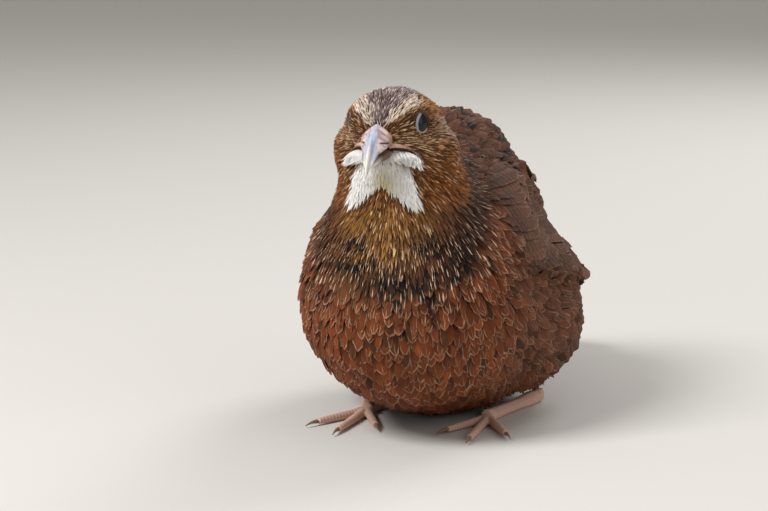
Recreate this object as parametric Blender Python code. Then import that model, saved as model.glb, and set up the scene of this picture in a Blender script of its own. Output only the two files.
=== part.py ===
"""A coturnix quail at rest on the ground, life size, as a still museum model.

Sizes are in millimetres, and each mesh is scaled to metres as it is made. The bird faces -Y,
its left side is +X, the floor is z = 0, and the origin is the middle of the flat of its belly.
The plumage is one smooth shape, a soft union of ellipsoids, parted into nodes by thin cuts.
"""

import math

import bmesh
import bpy
import numpy as np

METRES_PER_MM = 0.001
GAP = 0.3  # between pieces that touch
LEFT, RIGHT = 1.0, -1.0
AROUND = 32  # points in each ring of head, neck, trunk and tail

# The head's own frame: its middle lies between the eyes, and its turn is towards the bird's right.
HEAD_MIDDLE = np.array([0.0, -47.0, 81.0])
HEAD_TURN = -4.0

# Masses of plumage: middle (side, fore and aft, up), half sizes, lean about X, and whether paired.
HEAD_MASSES = {
    "crown": ((0, 5.0, 0.7), (9.6, 11.8, 8.0), 0, False),
    "brow": ((5.6, -0.6, 2.8), (3.4, 5.4, 2.8), 0, True),
    "face": ((0, -2.6, -2.0), (6.6, 5.8, 5.0), 0, False),
    "lore": ((0, -6.0, -2.7), (4.1, 4.0, 4.9), 0, False),
    "orbit": ((5.4, -0.6, 0.0), (4.0, 4.6, 4.2), 0, True),
    "cheek": ((7.4, 5.0, -7.4), (7.8, 9.0, 6.8), 0, True),
    "chin": ((0, -1.6, -8.4), (5.6, 5.6, 3.8), 0, False),
    "throat": ((0, 6.0, -13.0), (12.6, 10.0, 8.0), 0, False),
    "nape": ((0, 13.5, -6.0), (9.8, 8.4, 10.0), 0, False),
}
TRUNK_MASSES = {
    "neck": ((0, -31, 60), (13.5, 14.5, 14.5), 0, False),
    "ruff": ((0, -37, 55), (15.5, 13.0, 11.5), 0, False),
    "shoulders": ((0, -18, 50), (21.0, 24.0, 20.5), 0, False),
    "breast": ((0, -27, 36), (28.0, 32.0, 28.0), 0, False),
    "mantle": ((0, 6, 66.5), (13.0, 25.0, 11.5), 0, False),
    "back": ((0, 10, 44.5), (19.3, 42.0, 32.5), 0, False),
    "flank": ((13.5, 5, 28.5), (19.7, 38.0, 20.0), 0, True),
    "belly": ((0, 6, 20), (23.0, 40.0, 20.5), 0, False),
    "hip": ((17, 18, 26), (14.0, 22.0, 15.0), 0, True),
    "rump": ((0, 42, 38), (15.5, 24.0, 15.5), -24, False),
    "vent": ((0, 46, 28), (11.0, 16.0, 10.0), -24, False),
    "tail": ((0, 60, 31.9), (12.0, 18.0, 4.6), -26, False),
}
HEAD_SOFTNESS = 1.5
TRUNK_SOFTNESS = 3.6
NECK_SOFTNESS = 3.0

# Stations of the loft from face to tail: middle of the section (y, z) and how far back it leans.
STATIONS = np.array([
    (-55.6, 78.4, 0),
    (-53.6, 78.2, 14),
    (-50.0, 77.4, 28),
    (-45.0, 75.2, 42),
    (-40.0, 71.0, 53),
    (-37.0, 66.0, 52),
    (-33.0, 60.0, 44),
    (-26.0, 54.0, 36),
    (-17.0, 48.0, 26),
    (-6.0, 43.5, 15),
    (6.0, 40.5, 6),
    (20.0, 38.5, 0),
    (33.0, 38.0, 6),
    (44.0, 36.5, 14),
    (53.0, 34.0, 20),
    (61.0, 31.0, 25),
    (75.6, 24.3, 26),
], float)
HEAD_END, HEAD_RINGS = 4.0, 11
NECK_END, NECK_RINGS = 6.0, 8
TRUNK_END, TRUNK_RINGS = 14.0, 18
TAIL_END, TAIL_RINGS = 16.0, 8

EYE_BACK, EYE_UP = 3.0, 0.0  # where the eyes' axes cross the middle of the head
EYE_RADIUS = 4.3
EYE_DEPTH = 4.2  # from the face's surface in to the eyeball's middle
EYE_TURN = 22.0  # how far the eye's axis points forward of straight out
EYE_ROUNDS = 8
LID_THICKNESS = 0.58
LID_OPENING = (2.5, 2.2)  # half the opening's length and height
LID_OPENING_SIDES, LID_OPENING_REACH, LID_OPENING_FLARE = 16, 9.0, 1.3

BILL_BASE = 8.6  # from the eyes forward to the bill's root
CULMEN_TOP = 1.7  # the ridge of the bill at its root, above the eyes
CULMEN_LENGTH, CULMEN_DROP = 9.4, 9.4
CULMEN_SLOPE = 0.24  # the share of that drop that is a straight slope
CULMEN_ARC = 78.0
MOUTH_TOP = -4.4  # the edge of the upper bill at its root, from the eyes
MOUTH_LENGTH, MOUTH_DROP = 8.6, 3.1
BILL_HALF_WIDTH = 3.75
LOWER_BILL_LENGTH, LOWER_BILL_DEPTH, LOWER_BILL_HALF_WIDTH = 7.2, 2.4, 3.4
BILL_TIP_HALF_WIDTH = 0.35
# The flap over each nostril, in the head's frame from the bill's root: middle and half sizes.
NOSTRIL_FLAP = ((2.3, -2.9, -1.1), (1.35, 2.5, 1.8))
# The slit of each nostril: back and up along it, its sides from the middle line, and half its height.
NOSTRIL_SLIT = ((-1.4, -2.9), (-2.8, -2.5), (-4.3, -2.0))
NOSTRIL_INSIDE, NOSTRIL_OUTSIDE, NOSTRIL_HALF_HEIGHT = 1.9, 6.0, 0.28
# The line of the mouth behind the bill: forward of the eyes and up.
MOUTH_LINE = ((9.1, -4.6), (7.4, -4.9), (5.6, -5.4), (3.6, -6.5), (1.8, -8.1))
MOUTH_LINE_HEIGHT, MOUTH_LINE_DEPTH = 0.55, 0.9

# The wing's pad, as places along the body and values there: degrees round from the back to its
# upper and lower edges, and its thickness.
WING_FRONT, WING_BACK = -33.0, 38.0
WING_UPPER_EDGE = ((-33, -28, -15, 0, 38), (64, 52, 42, 38, 36))
WING_LOWER_EDGE = ((-33, -28, -10, 20, 38), (76, 88, 102, 99, 90))
WING_DEPTH = ((-33, -26, -14, -2, 8, 20, 38), (0.8, 1.9, 2.9, 2.8, 2.5, 1.9, 0.9))
WING_ROWS, WING_COLUMNS = 10, 7
PAD_CLEARANCE = 0.45
VANE_THICKNESS = 0.55
VANE_ARCH = 0.16  # how far the edges of a feather lie below its shaft
VANE_TAPER = (0.6, 0.93, 1.0, 0.85, 0.35)

# Tiers of wing feathers from the lowest feather to the highest, each as knots that are spread
# evenly over its feathers: where root and tip lie along the body, and how far round from its back.
WING_TIERS = {
    "primary": {"count": 5, "root": (22, 28), "root_turn": (94, 78), "tip": (50, 57), "tip_turn": (86, 64),
                "heights": (1.1, 1.3), "width": 5.6, "tilt": 0.6},
    "secondary": {"count": 9, "root": (-2, 4), "root_turn": (100, 42), "tip": (35, 47, 54, 50, 42),
                  "tip_turn": (97, 36), "heights": (2.3, 2.5), "width": 7.4, "tilt": 1.25},
    "greater_covert": {"count": 8, "root": (-14, -14), "root_turn": (99, 42), "tip": (10, 15, 13),
                       "tip_turn": (99, 40), "heights": (2.0, 3.9), "width": 7.2, "tilt": 1.2},
    "median_covert": {"count": 7, "root": (-23, -24, -21), "root_turn": (95, 46), "tip": (-6, -3, -4),
                      "tip_turn": (97, 43), "heights": (1.3, 4.2), "width": 7.0, "tilt": 1.1},
}

# The tail's own frame starts above its root, along its droop. Its feathers are in pairs.
TAIL_ROOT = np.array([0.0, 62.0, 30.9])
TAIL_DROOP = 26.0
TAIL_TIERS = {
    "tail_feather": {"count": 6, "root_out": (1.9, 7.5), "tip_out": (3.2, 17.0), "start": (-2.0, -2.0),
                     "end": (33.0, 27.0), "rise": (0.7, 0.5), "drop": 0.16, "width": 6.6, "tilt": 1.0},
    "upper_covert": {"count": 4, "root_out": (1.6, 6.8), "tip_out": (1.9, 10.5), "start": (-1.0, 0.0),
                     "end": (23.0, 17.0), "rise": (2.9, 2.1), "drop": 0.2, "width": 6.4, "tilt": 0.9},
    "lower_covert": {"count": 3, "root_out": (1.8, 6.0), "tip_out": (2.2, 8.5), "start": (-1.0, 0.0),
                     "end": (20.0, 14.0), "rise": (-3.3, -1.8), "drop": -0.2, "width": 6.4, "tilt": -0.8},
}

# Locks of the bib: root and tip to one side of the chin and below the eyes.
BIB_LOCK_WIDTH = 3.0
BIB_LOCK_TAPER = (0.8, 1.0, 0.85, 0.55, 0.2)
BIB_LOCK_HEIGHTS = (-0.5, 0.35, 1.1)
BIB_LOCKS = (((1.6, -8.6), (3.2, -15.0)), ((3.2, -8.8), (5.4, -17.2)), ((4.8, -9.0), (7.4, -19.2)),
             ((6.4, -9.4), (9.2, -20.4)), ((7.6, -10.4), (9.8, -17.6)))

# The feathered leg's pad, and the short shank between it and the heel.
LEG_FRONT, LEG_BACK = -14.0, 36.0
LEG_TOP, LEG_BOTTOM = 108.0, 151.0
LEG_DEPTH, LEG_ROWS, LEG_COLUMNS = 2.2, 9, 7
SHANK_START, SHANK_SINK = 25.0, 1.2
SHANK_TOP_RADIUS, SHANK_RADIUS = 2.2, 1.5

HEEL_OUT, HEEL = 23.5, 17.0
FOOT_OUT, TOE_ROOT = 16.5, -11.0
HEEL_TOP = 3.7
TARSUS_RADIUS = 1.7
TARSUS_SHAPE = (0.8, 1.25, 1.0, 0.95, 1.0, 1.1)
TOE_RADIUS = 1.15
TOE_SHAPE = (1.25, 1.0, 0.95, 0.85, 0.7)
CLAW_LENGTH, CLAW_RADIUS, CLAW_TIP_RADIUS = 4.4, 0.62, 0.14
CLAW_ARCH, CLAW_DROP = 0.15, 0.55
# Each toe: turn outwards from straight ahead, and length.
TOES = ((-24.0, 17.0), (2.0, 23.0), (28.0, 18.0), (196.0, 8.0))

COLOURS = {
    "plumage_russet": (0.17, 0.055, 0.022),
    "plumage_head": (0.30, 0.13, 0.05),
    "plumage_throat": (0.32, 0.16, 0.06),
    "plumage_back": (0.12, 0.065, 0.045),
    "horn": (0.42, 0.45, 0.55),
    "eye": (0.012, 0.009, 0.008),
    "skin_pale": (0.62, 0.42, 0.33),
    "claw": (0.45, 0.36, 0.28),
}
SHINE = {"horn": 0.35, "eye": 0.06, "skin_pale": 0.5, "claw": 0.4}


def clear_scene():
    for obj in list(bpy.data.objects):
        bpy.data.objects.remove(obj, do_unlink=True)


def material(name):
    found = bpy.data.materials.get(name)
    if found:
        return found
    made = bpy.data.materials.new(name)
    made.use_nodes = True
    shader = made.node_tree.nodes["Principled BSDF"]
    shader.inputs["Base Color"].default_value = (*COLOURS[name], 1.0)
    shader.inputs["Roughness"].default_value = SHINE.get(name, 0.85)
    shader.inputs["Metallic"].default_value = 0.0
    return made


# The shape of the plumage


def rotation_x(degrees):
    c, s = math.cos(math.radians(degrees)), math.sin(math.radians(degrees))
    return np.array([[1, 0, 0], [0, c, -s], [0, s, c]])


def rotation_z(degrees):
    c, s = math.cos(math.radians(degrees)), math.sin(math.radians(degrees))
    return np.array([[c, -s, 0], [s, c, 0], [0, 0, 1]])


HEAD_TO_BIRD = rotation_z(HEAD_TURN)


def from_head(points):
    """Points in the head's frame (left, back, up) as points of the bird."""
    return np.asarray(points, float) @ HEAD_TO_BIRD.T + HEAD_MIDDLE


def ellipsoid_distance(points, middle, half, lean):
    local = ((points - np.array(middle)) @ rotation_x(lean)) / np.array(half)
    reach = np.linalg.norm(local, axis=1)
    slope = np.linalg.norm(local / np.array(half), axis=1)
    return reach * (reach - 1.0) / np.maximum(slope, 1e-6)


def soft_union(distances, softness):
    stack = np.array(distances)
    lowest = stack.min(axis=0)
    return lowest - softness * np.log(np.exp((lowest - stack) / softness).sum(axis=0))


def masses_distance(points, masses, softness):
    found = []
    for middle, half, lean, paired in masses.values():
        found.append(ellipsoid_distance(points, middle, half, lean))
        if paired:
            mirrored = points * np.array([-1.0, 1.0, 1.0])
            found.append(ellipsoid_distance(mirrored, middle, half, lean))
    return soft_union(found, softness)


def bird_distance(points):
    """Distance from the surface of the plumage, negative inside."""
    in_head = (points - HEAD_MIDDLE) @ HEAD_TO_BIRD
    head = masses_distance(in_head, HEAD_MASSES, HEAD_SOFTNESS)
    trunk = masses_distance(points, TRUNK_MASSES, TRUNK_SOFTNESS)
    return soft_union([head, trunk], NECK_SOFTNESS)


def cast(starts, directions, reach=75.0, steps=100):
    """How far each ray goes from inside the plumage to its surface."""
    starts = np.broadcast_to(starts, directions.shape)
    far = np.linspace(0.0, reach, steps)
    samples = starts[:, None, :] + far[None, :, None] * directions[:, None, :]
    outside = bird_distance(samples.reshape(-1, 3)).reshape(len(starts), steps) > 0
    first = np.maximum(outside.argmax(axis=1), 1)
    low, high = far[first - 1], far[first]
    for _ in range(14):
        middle = (low + high) / 2
        out = bird_distance(starts + middle[:, None] * directions) > 0
        high = np.where(out, middle, high)
        low = np.where(out, low, middle)
    return low


def outward(points):
    """Unit normals of the plumage at these points."""
    step = 0.2
    normal = np.empty_like(points)
    for axis in range(3):
        shift = np.zeros(3)
        shift[axis] = step
        normal[:, axis] = bird_distance(points + shift) - bird_distance(points - shift)
    return normal / np.linalg.norm(normal, axis=1)[:, None]


def plane_at(station, shift=0.0):
    """Middle, up, side and backward directions of the loft's plane. shift moves it towards the tail."""
    whole = np.arange(len(STATIONS))
    y, z, lean = (np.interp(station, whole, STATIONS[:, column]) for column in range(3))
    ease = np.clip(station / HEAD_END, 0.0, 1.0)
    turned = rotation_z(HEAD_TURN * (1.0 - ease * ease * (3.0 - 2.0 * ease)))
    lean = math.radians(lean)
    up = turned @ np.array([0.0, math.sin(lean), math.cos(lean)])
    side = turned @ np.array([1.0, 0.0, 0.0])
    back = turned @ np.array([0.0, math.cos(lean), -math.sin(lean)])
    middle = HEAD_MIDDLE + turned @ (np.array([0.0, y, z]) - HEAD_MIDDLE) + shift * back
    return middle, up, side, back


def section(station, stop, shift=0.0):
    """One ring of the loft, kept above the floor and in front of the plane at stop."""
    middle, up, side, _ = plane_at(station, shift)
    angles = 2.0 * math.pi * (np.arange(AROUND) + 0.5) / AROUND
    directions = np.cos(angles)[:, None] * up + np.sin(angles)[:, None] * side
    reach = cast(middle, directions)
    falling = np.minimum(directions[:, 2], -1e-9)
    to_floor = np.where(directions[:, 2] < 0, middle[2] / -falling, np.inf)
    end, _, _, back = plane_at(stop)
    towards = directions @ back
    to_end = np.where(towards > 1e-6, ((end - middle) @ back) / np.maximum(towards, 1e-6), np.inf)
    if station == stop:
        to_end[:] = np.inf
    reach = np.minimum(np.minimum(reach, to_floor), to_end)
    return middle + reach[:, None] * directions


def flank(along, round_from_back, height):
    """Points above the left side of the plumage: along the body, and degrees round from its back."""
    along, turn, height = np.broadcast_arrays(along, np.radians(round_from_back), height)
    shape = along.shape
    along, turn, height = along.ravel(), turn.ravel(), height.ravel()
    axis_height = np.interp(along, (-33.0, 0.0, 40.0, 60.0), (48.0, 43.0, 37.0, 32.0))
    starts = np.stack([np.zeros_like(along), along, axis_height], axis=1)
    directions = np.stack([np.sin(turn), np.zeros_like(turn), np.cos(turn)], axis=1)
    surface = starts + cast(starts, directions)[:, None] * directions
    return (surface + height[:, None] * outward(surface)).reshape(*shape, 3)


# Meshes


def make_object(name, made, finish):
    """An object from a bmesh in millimetres."""
    bmesh.ops.scale(made, vec=(METRES_PER_MM,) * 3, verts=made.verts)
    bmesh.ops.recalc_face_normals(made, faces=made.faces)
    mesh = bpy.data.meshes.new(name)
    made.to_mesh(mesh)
    made.free()
    mesh.materials.append(material(finish))
    mesh.shade_smooth()
    mesh.set_sharp_from_angle(angle=math.radians(50))
    obj = bpy.data.objects.new(name, mesh)
    bpy.context.scene.collection.objects.link(obj)
    return obj


def loft(rings):
    """A closed skin over rings that have the same number of points."""
    made = bmesh.new()
    loops = [[made.verts.new(point) for point in ring] for ring in rings]
    count = len(rings[0])
    for near, far in zip(loops, loops[1:]):
        for i in range(count):
            j = (i + 1) % count
            made.faces.new((near[i], near[j], far[j], far[i]))
    made.faces.new(loops[0][::-1])
    made.faces.new(loops[-1])
    return made


def slab(top, bottom):
    """A closed plate between two grids of points, each indexed along and then across."""
    made = bmesh.new()
    upper = [[made.verts.new(point) for point in row] for row in top]
    lower = [[made.verts.new(point) for point in row] for row in bottom]
    rows, columns = len(upper), len(upper[0])
    for i in range(rows - 1):
        for j in range(columns - 1):
            quad = [(i, j), (i, j + 1), (i + 1, j + 1), (i + 1, j)]
            # Both faces are split along the same diagonal, so that a thin curved plate never crosses itself.
            for corners in ((0, 1, 2), (0, 2, 3)):
                made.faces.new([upper[quad[c][0]][quad[c][1]] for c in corners])
                made.faces.new([lower[quad[c][0]][quad[c][1]] for c in reversed(corners)])
    rim = [(i, 0) for i in range(rows - 1)]
    rim += [(rows - 1, j) for j in range(columns - 1)]
    rim += [(i, columns - 1) for i in range(rows - 1, 0, -1)]
    rim += [(0, j) for j in range(columns - 1, 0, -1)]
    for (a, b), (c, d) in zip(rim, rim[1:] + rim[:1]):
        made.faces.new((upper[a][b], upper[c][d], lower[c][d], lower[a][b]))
    return made


def tube(path, radii, sides=8, flatten=1.0):
    """A closed tube of rings along a path of points, each ring square to the path."""
    path = np.array(path, float)
    ahead = np.gradient(path, axis=0)
    rings = []
    for point, direction, radius in zip(path, ahead, radii):
        direction = direction / np.linalg.norm(direction)
        side = np.cross(direction, [0.0, 0.0, 1.0])
        if np.linalg.norm(side) < 1e-3:
            side = np.array([1.0, 0.0, 0.0])
        side /= np.linalg.norm(side)
        up = np.cross(side, direction)
        turns = 2.0 * math.pi * (np.arange(sides) + 0.5) / sides
        rings.append(point + radius * (np.cos(turns)[:, None] * side
                                       + flatten * np.sin(turns)[:, None] * up))
    return loft(rings)


def settle(obj):
    """Applies the object's modifiers."""
    graph = bpy.context.evaluated_depsgraph_get()
    mesh = bpy.data.meshes.new_from_object(obj.evaluated_get(graph))
    obj.modifiers.clear()
    obj.data = mesh


def keep_largest(obj):
    """Drops loose scraps and sealed hollows, leaving the largest closed surface."""
    made = bmesh.new()
    made.from_mesh(obj.data)
    unseen = set(made.faces)
    groups = []
    while unseen:
        waiting = [unseen.pop()]
        group = list(waiting)
        while waiting:
            for edge in waiting.pop().edges:
                for face in edge.link_faces:
                    if face in unseen:
                        unseen.remove(face)
                        waiting.append(face)
                        group.append(face)
        groups.append(group)
    groups.sort(key=lambda faces: sum(face.calc_area() for face in faces))
    loose = [face for group in groups[:-1] for face in group]
    bmesh.ops.delete(made, geom=loose, context="FACES")
    made.to_mesh(obj.data)
    made.free()


def combine(obj, others, operation):
    """Joins the others to the object, or cuts them from it, and removes them."""
    group = bpy.data.collections.new(f"{obj.name}_{operation.lower()}")
    bpy.context.scene.collection.children.link(group)
    for other in others:
        bpy.context.scene.collection.objects.unlink(other)
        group.objects.link(other)
    change = obj.modifiers.new(operation.title(), "BOOLEAN")
    change.operation = operation
    change.solver = "EXACT"
    change.operand_type = "COLLECTION"
    change.collection = group
    settle(obj)
    for other in others:
        bpy.data.objects.remove(other, do_unlink=True)
    bpy.data.collections.remove(group)
    keep_largest(obj)
    return obj


def side_name(side):
    return "left" if side > 0 else "right"


# Head, neck and trunk


def plumage_node(name, finish, stations, after_cut):
    stop = stations[-1]
    rings = [section(station, stop) for station in stations]
    if after_cut:
        rings[0] = section(stations[0], stop, GAP)
    return make_object(name, loft(rings), finish)


def eye_axis(side):
    turn = math.radians(EYE_TURN)
    return HEAD_TO_BIRD @ np.array([side * math.cos(turn), -math.sin(turn), 0.0])


def eye_middle(side):
    """The middle of an eyeball, a set depth below the surface of the face."""
    start = from_head([0.0, EYE_BACK, EYE_UP])
    axis = eye_axis(side)
    return start + (cast(start, axis[None, :])[0] - EYE_DEPTH) * axis


def ball(name, middle, radius, finish, rounds=EYE_ROUNDS):
    made = bmesh.new()
    bmesh.ops.create_uvsphere(made, u_segments=2 * rounds, v_segments=rounds, radius=radius)
    bmesh.ops.translate(made, vec=middle, verts=made.verts)
    return make_object(name, made, finish)


def lid_opening(side):
    """A rod along an eye's axis, as wide as the opening of the lids."""
    axis = eye_axis(side)
    across = np.cross([0.0, 0.0, 1.0], axis)
    up = np.cross(axis, across)
    turns = 2.0 * math.pi * (np.arange(LID_OPENING_SIDES) + 0.5) / LID_OPENING_SIDES
    ring = (LID_OPENING[0] * np.cos(turns)[:, None] * across
            + LID_OPENING[1] * np.sin(turns)[:, None] * up)
    near = eye_middle(side)
    far = near + LID_OPENING_REACH * axis
    return make_object("opening", loft([near + ring, far + LID_OPENING_FLARE * ring]), "eye")


def mouth_line(side):
    """A thin cutter that follows the face from the bill's root back under the eye."""
    rings = []
    for forward, up in MOUTH_LINE:
        start = from_head([0.0, -min(forward, BILL_BASE), up])
        direction = HEAD_TO_BIRD @ np.array([side, 0.0, 0.0])
        reach = cast(start, direction[None, :])[0]
        ring = []
        for out, rise in ((-1, -1), (-1, 1), (1, 1), (1, -1)):
            across = side * (reach + out * MOUTH_LINE_DEPTH)
            ring.append(from_head([across, -forward, up + rise * MOUTH_LINE_HEIGHT / 2]))
        rings.append(ring)
    return make_object("mouth_line", loft(rings), "eye")


def bib_lock(side, root, tip):
    """A flat tapered lock of the bib, rooted under the chin and standing a little off at its tip."""
    steps = np.linspace(0.0, 1.0, 5)
    out = side * (root[0] + (tip[0] - root[0]) * steps)
    up = root[1] + (tip[1] - root[1]) * steps
    inner = from_head(np.stack([0.7 * out, np.full(5, 3.0), up], axis=1))
    outer = from_head(np.stack([out, np.full(5, -3.0), up], axis=1))
    directions = (outer - inner) / np.linalg.norm(outer - inner, axis=1)[:, None]
    surface = inner + cast(inner, directions)[:, None] * directions
    normals = outward(surface)
    path = surface + np.interp(steps, (0.0, 0.3, 1.0), BIB_LOCK_HEIGHTS)[:, None] * normals
    return vane(path, normals, BIB_LOCK_WIDTH, 0.0, np.ones(3), BIB_LOCK_TAPER)


def head():
    stations = np.concatenate([np.linspace(0.0, 1.0, 5)[:-1], np.linspace(1.0, HEAD_END, HEAD_RINGS)])
    made = plumage_node("head", "plumage_head", stations, False)
    sides = (LEFT, RIGHT)
    added = [ball("lid", eye_middle(side), EYE_RADIUS + GAP + LID_THICKNESS, "eye") for side in sides]
    added += [bib_lock(side, root, tip) for side in sides for root, tip in BIB_LOCKS]
    combine(made, added, "UNION")
    cutters = [ball("socket", eye_middle(side), EYE_RADIUS + GAP, "eye") for side in sides]
    cutters += [lid_opening(side) for side in sides]
    cutters += [mouth_line(side) for side in sides]
    combine(made, cutters, "DIFFERENCE")
    for side in sides:
        ball(f"eye_{side_name(side)}", eye_middle(side), EYE_RADIUS, "eye")


def neck():
    plumage_node("neck", "plumage_throat", np.linspace(HEAD_END, NECK_END, NECK_RINGS), True)


def torso():
    plumage_node("torso", "plumage_russet", np.linspace(NECK_END, TRUNK_END, TRUNK_RINGS), True)


# Bill


def culmen(t):
    """Forward and up along the ridge of the upper bill, from root to tip."""
    turn, arc = math.radians(CULMEN_ARC) * t, math.radians(CULMEN_ARC)
    curve = (1.0 - math.cos(turn)) / (1.0 - math.cos(arc))
    forward = CULMEN_LENGTH * math.sin(turn) / math.sin(arc)
    return np.array([forward, CULMEN_TOP - CULMEN_DROP * (CULMEN_SLOPE * t + (1.0 - CULMEN_SLOPE) * curve)])


def mouth(t):
    """Forward and up along the cutting edge of the upper bill, from root to tip."""
    return np.array([MOUTH_LENGTH * t, MOUTH_TOP - MOUTH_DROP * t ** 2.4])


def bill_ring(top, bottom, half_width, count, top_power, bottom_power):
    """A ring of the bill between two points of its middle. The lower a power, the flatter that side."""
    ring = []
    for angle in 2.0 * math.pi * (np.arange(count) + 0.5) / count:
        across, rise = math.sin(angle), math.cos(angle)
        rise = rise ** top_power if rise > 0 else -(-rise) ** bottom_power
        forward, up = (top + bottom) / 2 + (top - bottom) / 2 * rise
        ring.append(from_head((half_width * across, -BILL_BASE - GAP - forward, up)))
    return ring


def nostril_flap(side):
    made = bmesh.new()
    bmesh.ops.create_uvsphere(made, u_segments=10, v_segments=6, radius=1.0)
    middle, half = np.array(NOSTRIL_FLAP)
    for vert in made.verts:
        across, back, up = middle + half * np.array(vert.co)
        vert.co = from_head((side * across, back - BILL_BASE, up))
    return make_object("flap", made, "horn")


def nostril_slit(side):
    corners = [(x, z) for x, z in ((NOSTRIL_INSIDE, -1), (NOSTRIL_INSIDE, 1), (NOSTRIL_OUTSIDE, 1),
                                   (NOSTRIL_OUTSIDE, -1))]
    rings = []
    for back, up in NOSTRIL_SLIT:
        rings.append([from_head((side * x, back - BILL_BASE, up + z * NOSTRIL_HALF_HEIGHT))
                      for x, z in corners])
    return make_object("slit", loft(rings), "horn")


def upper_bill():
    rings = []
    for t in np.linspace(0.0, 1.0, 12):
        half_width = BILL_HALF_WIDTH * (1.0 - t) ** 0.55 + BILL_TIP_HALF_WIDTH
        rings.append(bill_ring(culmen(t), mouth(t), half_width, 16, 0.85, 0.3))
    made = make_object("bill_upper", loft(rings), "horn")
    combine(made, [nostril_flap(side) for side in (LEFT, RIGHT)], "UNION")
    combine(made, [nostril_slit(side) for side in (LEFT, RIGHT)], "DIFFERENCE")


def lower_bill():
    rings = []
    reach = LOWER_BILL_LENGTH / MOUTH_LENGTH
    for t in np.linspace(0.0, 1.0, 8):
        top = mouth(reach * t) - np.array([0.0, GAP])
        bottom = top - np.array([0.0, LOWER_BILL_DEPTH * (1.0 - t ** 1.6) + 0.45])
        half_width = LOWER_BILL_HALF_WIDTH * (1.0 - t) ** 0.5 + BILL_TIP_HALF_WIDTH
        rings.append(bill_ring(top, bottom, half_width, 12, 0.3, 0.8))
    make_object("bill_lower", loft(rings), "horn")


# Wings, legs and tail


def knots(values, count):
    """Values spread evenly over a count of feathers."""
    return np.interp(np.linspace(0.0, 1.0, count), np.linspace(0.0, 1.0, len(values)), values)


def vane(path, normals, width, tilt, mirror, taper=VANE_TAPER):
    """A feather as a thin closed plate along a path, narrowing to its tip, one edge lifted by tilt."""
    rows = np.linspace(0.0, 1.0, len(path))
    along = np.gradient(path, axis=0)
    across = np.cross(normals, along)
    across /= np.linalg.norm(across, axis=1)[:, None]
    half_width = width / 2 * np.interp(rows, (0.0, 0.3, 0.6, 0.85, 1.0), taper)
    half_depth = VANE_THICKNESS / 2 * np.interp(rows, (0.0, 0.8, 1.0), (1.1, 1.0, 0.8))
    top, bottom = [], []
    for j in (-1.0, 0.0, 1.0):
        edge = path + j * half_width[:, None] * across
        lift = (-j * tilt / 2 - VANE_ARCH * abs(j)) * half_width / (width / 2)
        top.append(edge + (lift + half_depth)[:, None] * normals)
        bottom.append(edge + (lift - half_depth)[:, None] * normals)
    top = np.array(top).transpose(1, 0, 2) * mirror
    bottom = np.array(bottom).transpose(1, 0, 2) * mirror
    return make_object("vane", slab(top, bottom), "plumage_back")


def wing_tier(side, tier, rows):
    """The feathers of one tier of a wing."""
    count = tier["count"]
    steps = np.linspace(0.0, 1.0, rows)
    made = []
    for root, root_turn, tip, tip_turn in zip(*(knots(tier[key], count) for key in
                                                ("root", "root_turn", "tip", "tip_turn"))):
        height = np.interp(steps, (0.0, 1.0), tier["heights"])
        path = flank(root + (tip - root) * steps, root_turn + (tip_turn - root_turn) * steps, height)
        made.append(vane(path, outward(path), tier["width"], tier["tilt"], np.array([side, 1.0, 1.0])))
    return made


def side_pad(name, finish, along, upper, lower, thickness, mirror, columns, roundness):
    """A pad that lies on one side of the plumage, thin at its rim."""
    across = np.linspace(0.0, 1.0, columns)
    rows = np.linspace(0.0, 1.0, len(along))
    turn = upper[:, None] + (lower - upper)[:, None] * across
    thin_side = 1.0 - 0.8 * np.abs(2.0 * across - 1.0) ** roundness
    thin_end = 1.0 - 0.8 * np.abs(2.0 * rows - 1.0) ** roundness
    depth = thickness[:, None] * thin_side[None, :] * thin_end[:, None]
    top = flank(along[:, None], turn, PAD_CLEARANCE + depth) * mirror
    bottom = flank(along[:, None], turn, PAD_CLEARANCE) * mirror
    return make_object(name, slab(top, bottom), finish)


def wing(side):
    along = np.linspace(WING_FRONT, WING_BACK, WING_ROWS)
    upper, lower, thickness = (np.interp(along, *table)
                               for table in (WING_UPPER_EDGE, WING_LOWER_EDGE, WING_DEPTH))
    mirror = np.array([side, 1.0, 1.0])
    made = side_pad(f"wing_{side_name(side)}", "plumage_back", along, upper, lower, thickness, mirror,
                    WING_COLUMNS, 7)
    feathers = []
    for tier in WING_TIERS.values():
        feathers += wing_tier(side, tier, 5 if tier is WING_TIERS["secondary"] else 4)
    combine(made, feathers, "UNION")


def leg(side):
    """A feathered leg: a pad over the thigh, and a shank from under it down to the heel."""
    along = np.linspace(LEG_FRONT, LEG_BACK, LEG_ROWS)
    bulge = np.sqrt(1.0 - np.linspace(-0.97, 0.97, LEG_ROWS) ** 2)
    middle, half = (LEG_TOP + LEG_BOTTOM) / 2, (LEG_BOTTOM - LEG_TOP) / 2
    mirror = np.array([side, 1.0, 1.0])
    made = side_pad(f"leg_{side_name(side)}", "plumage_russet", along, middle - half * bulge,
                    middle + half * bulge, np.full(LEG_ROWS, LEG_DEPTH), mirror, LEG_COLUMNS, 2.5)
    turns = 2.0 * math.pi * (np.arange(10) + 0.5) / 10
    circle = np.stack([np.cos(turns), np.sin(turns), np.zeros(10)], axis=1)
    top = np.array([HEEL_OUT, HEEL, SHANK_START]) + SHANK_TOP_RADIUS * circle
    down = np.broadcast_to(np.array([0.0, 0.0, -1.0]), top.shape)
    top[:, 2] -= cast(top, down) + SHANK_SINK
    bottom = np.array([HEEL_OUT, HEEL, HEEL_TOP + GAP]) + SHANK_RADIUS * circle
    shank = make_object("shank", loft([top * mirror, bottom * mirror]), "plumage_russet")
    combine(made, [shank], "UNION")


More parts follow.
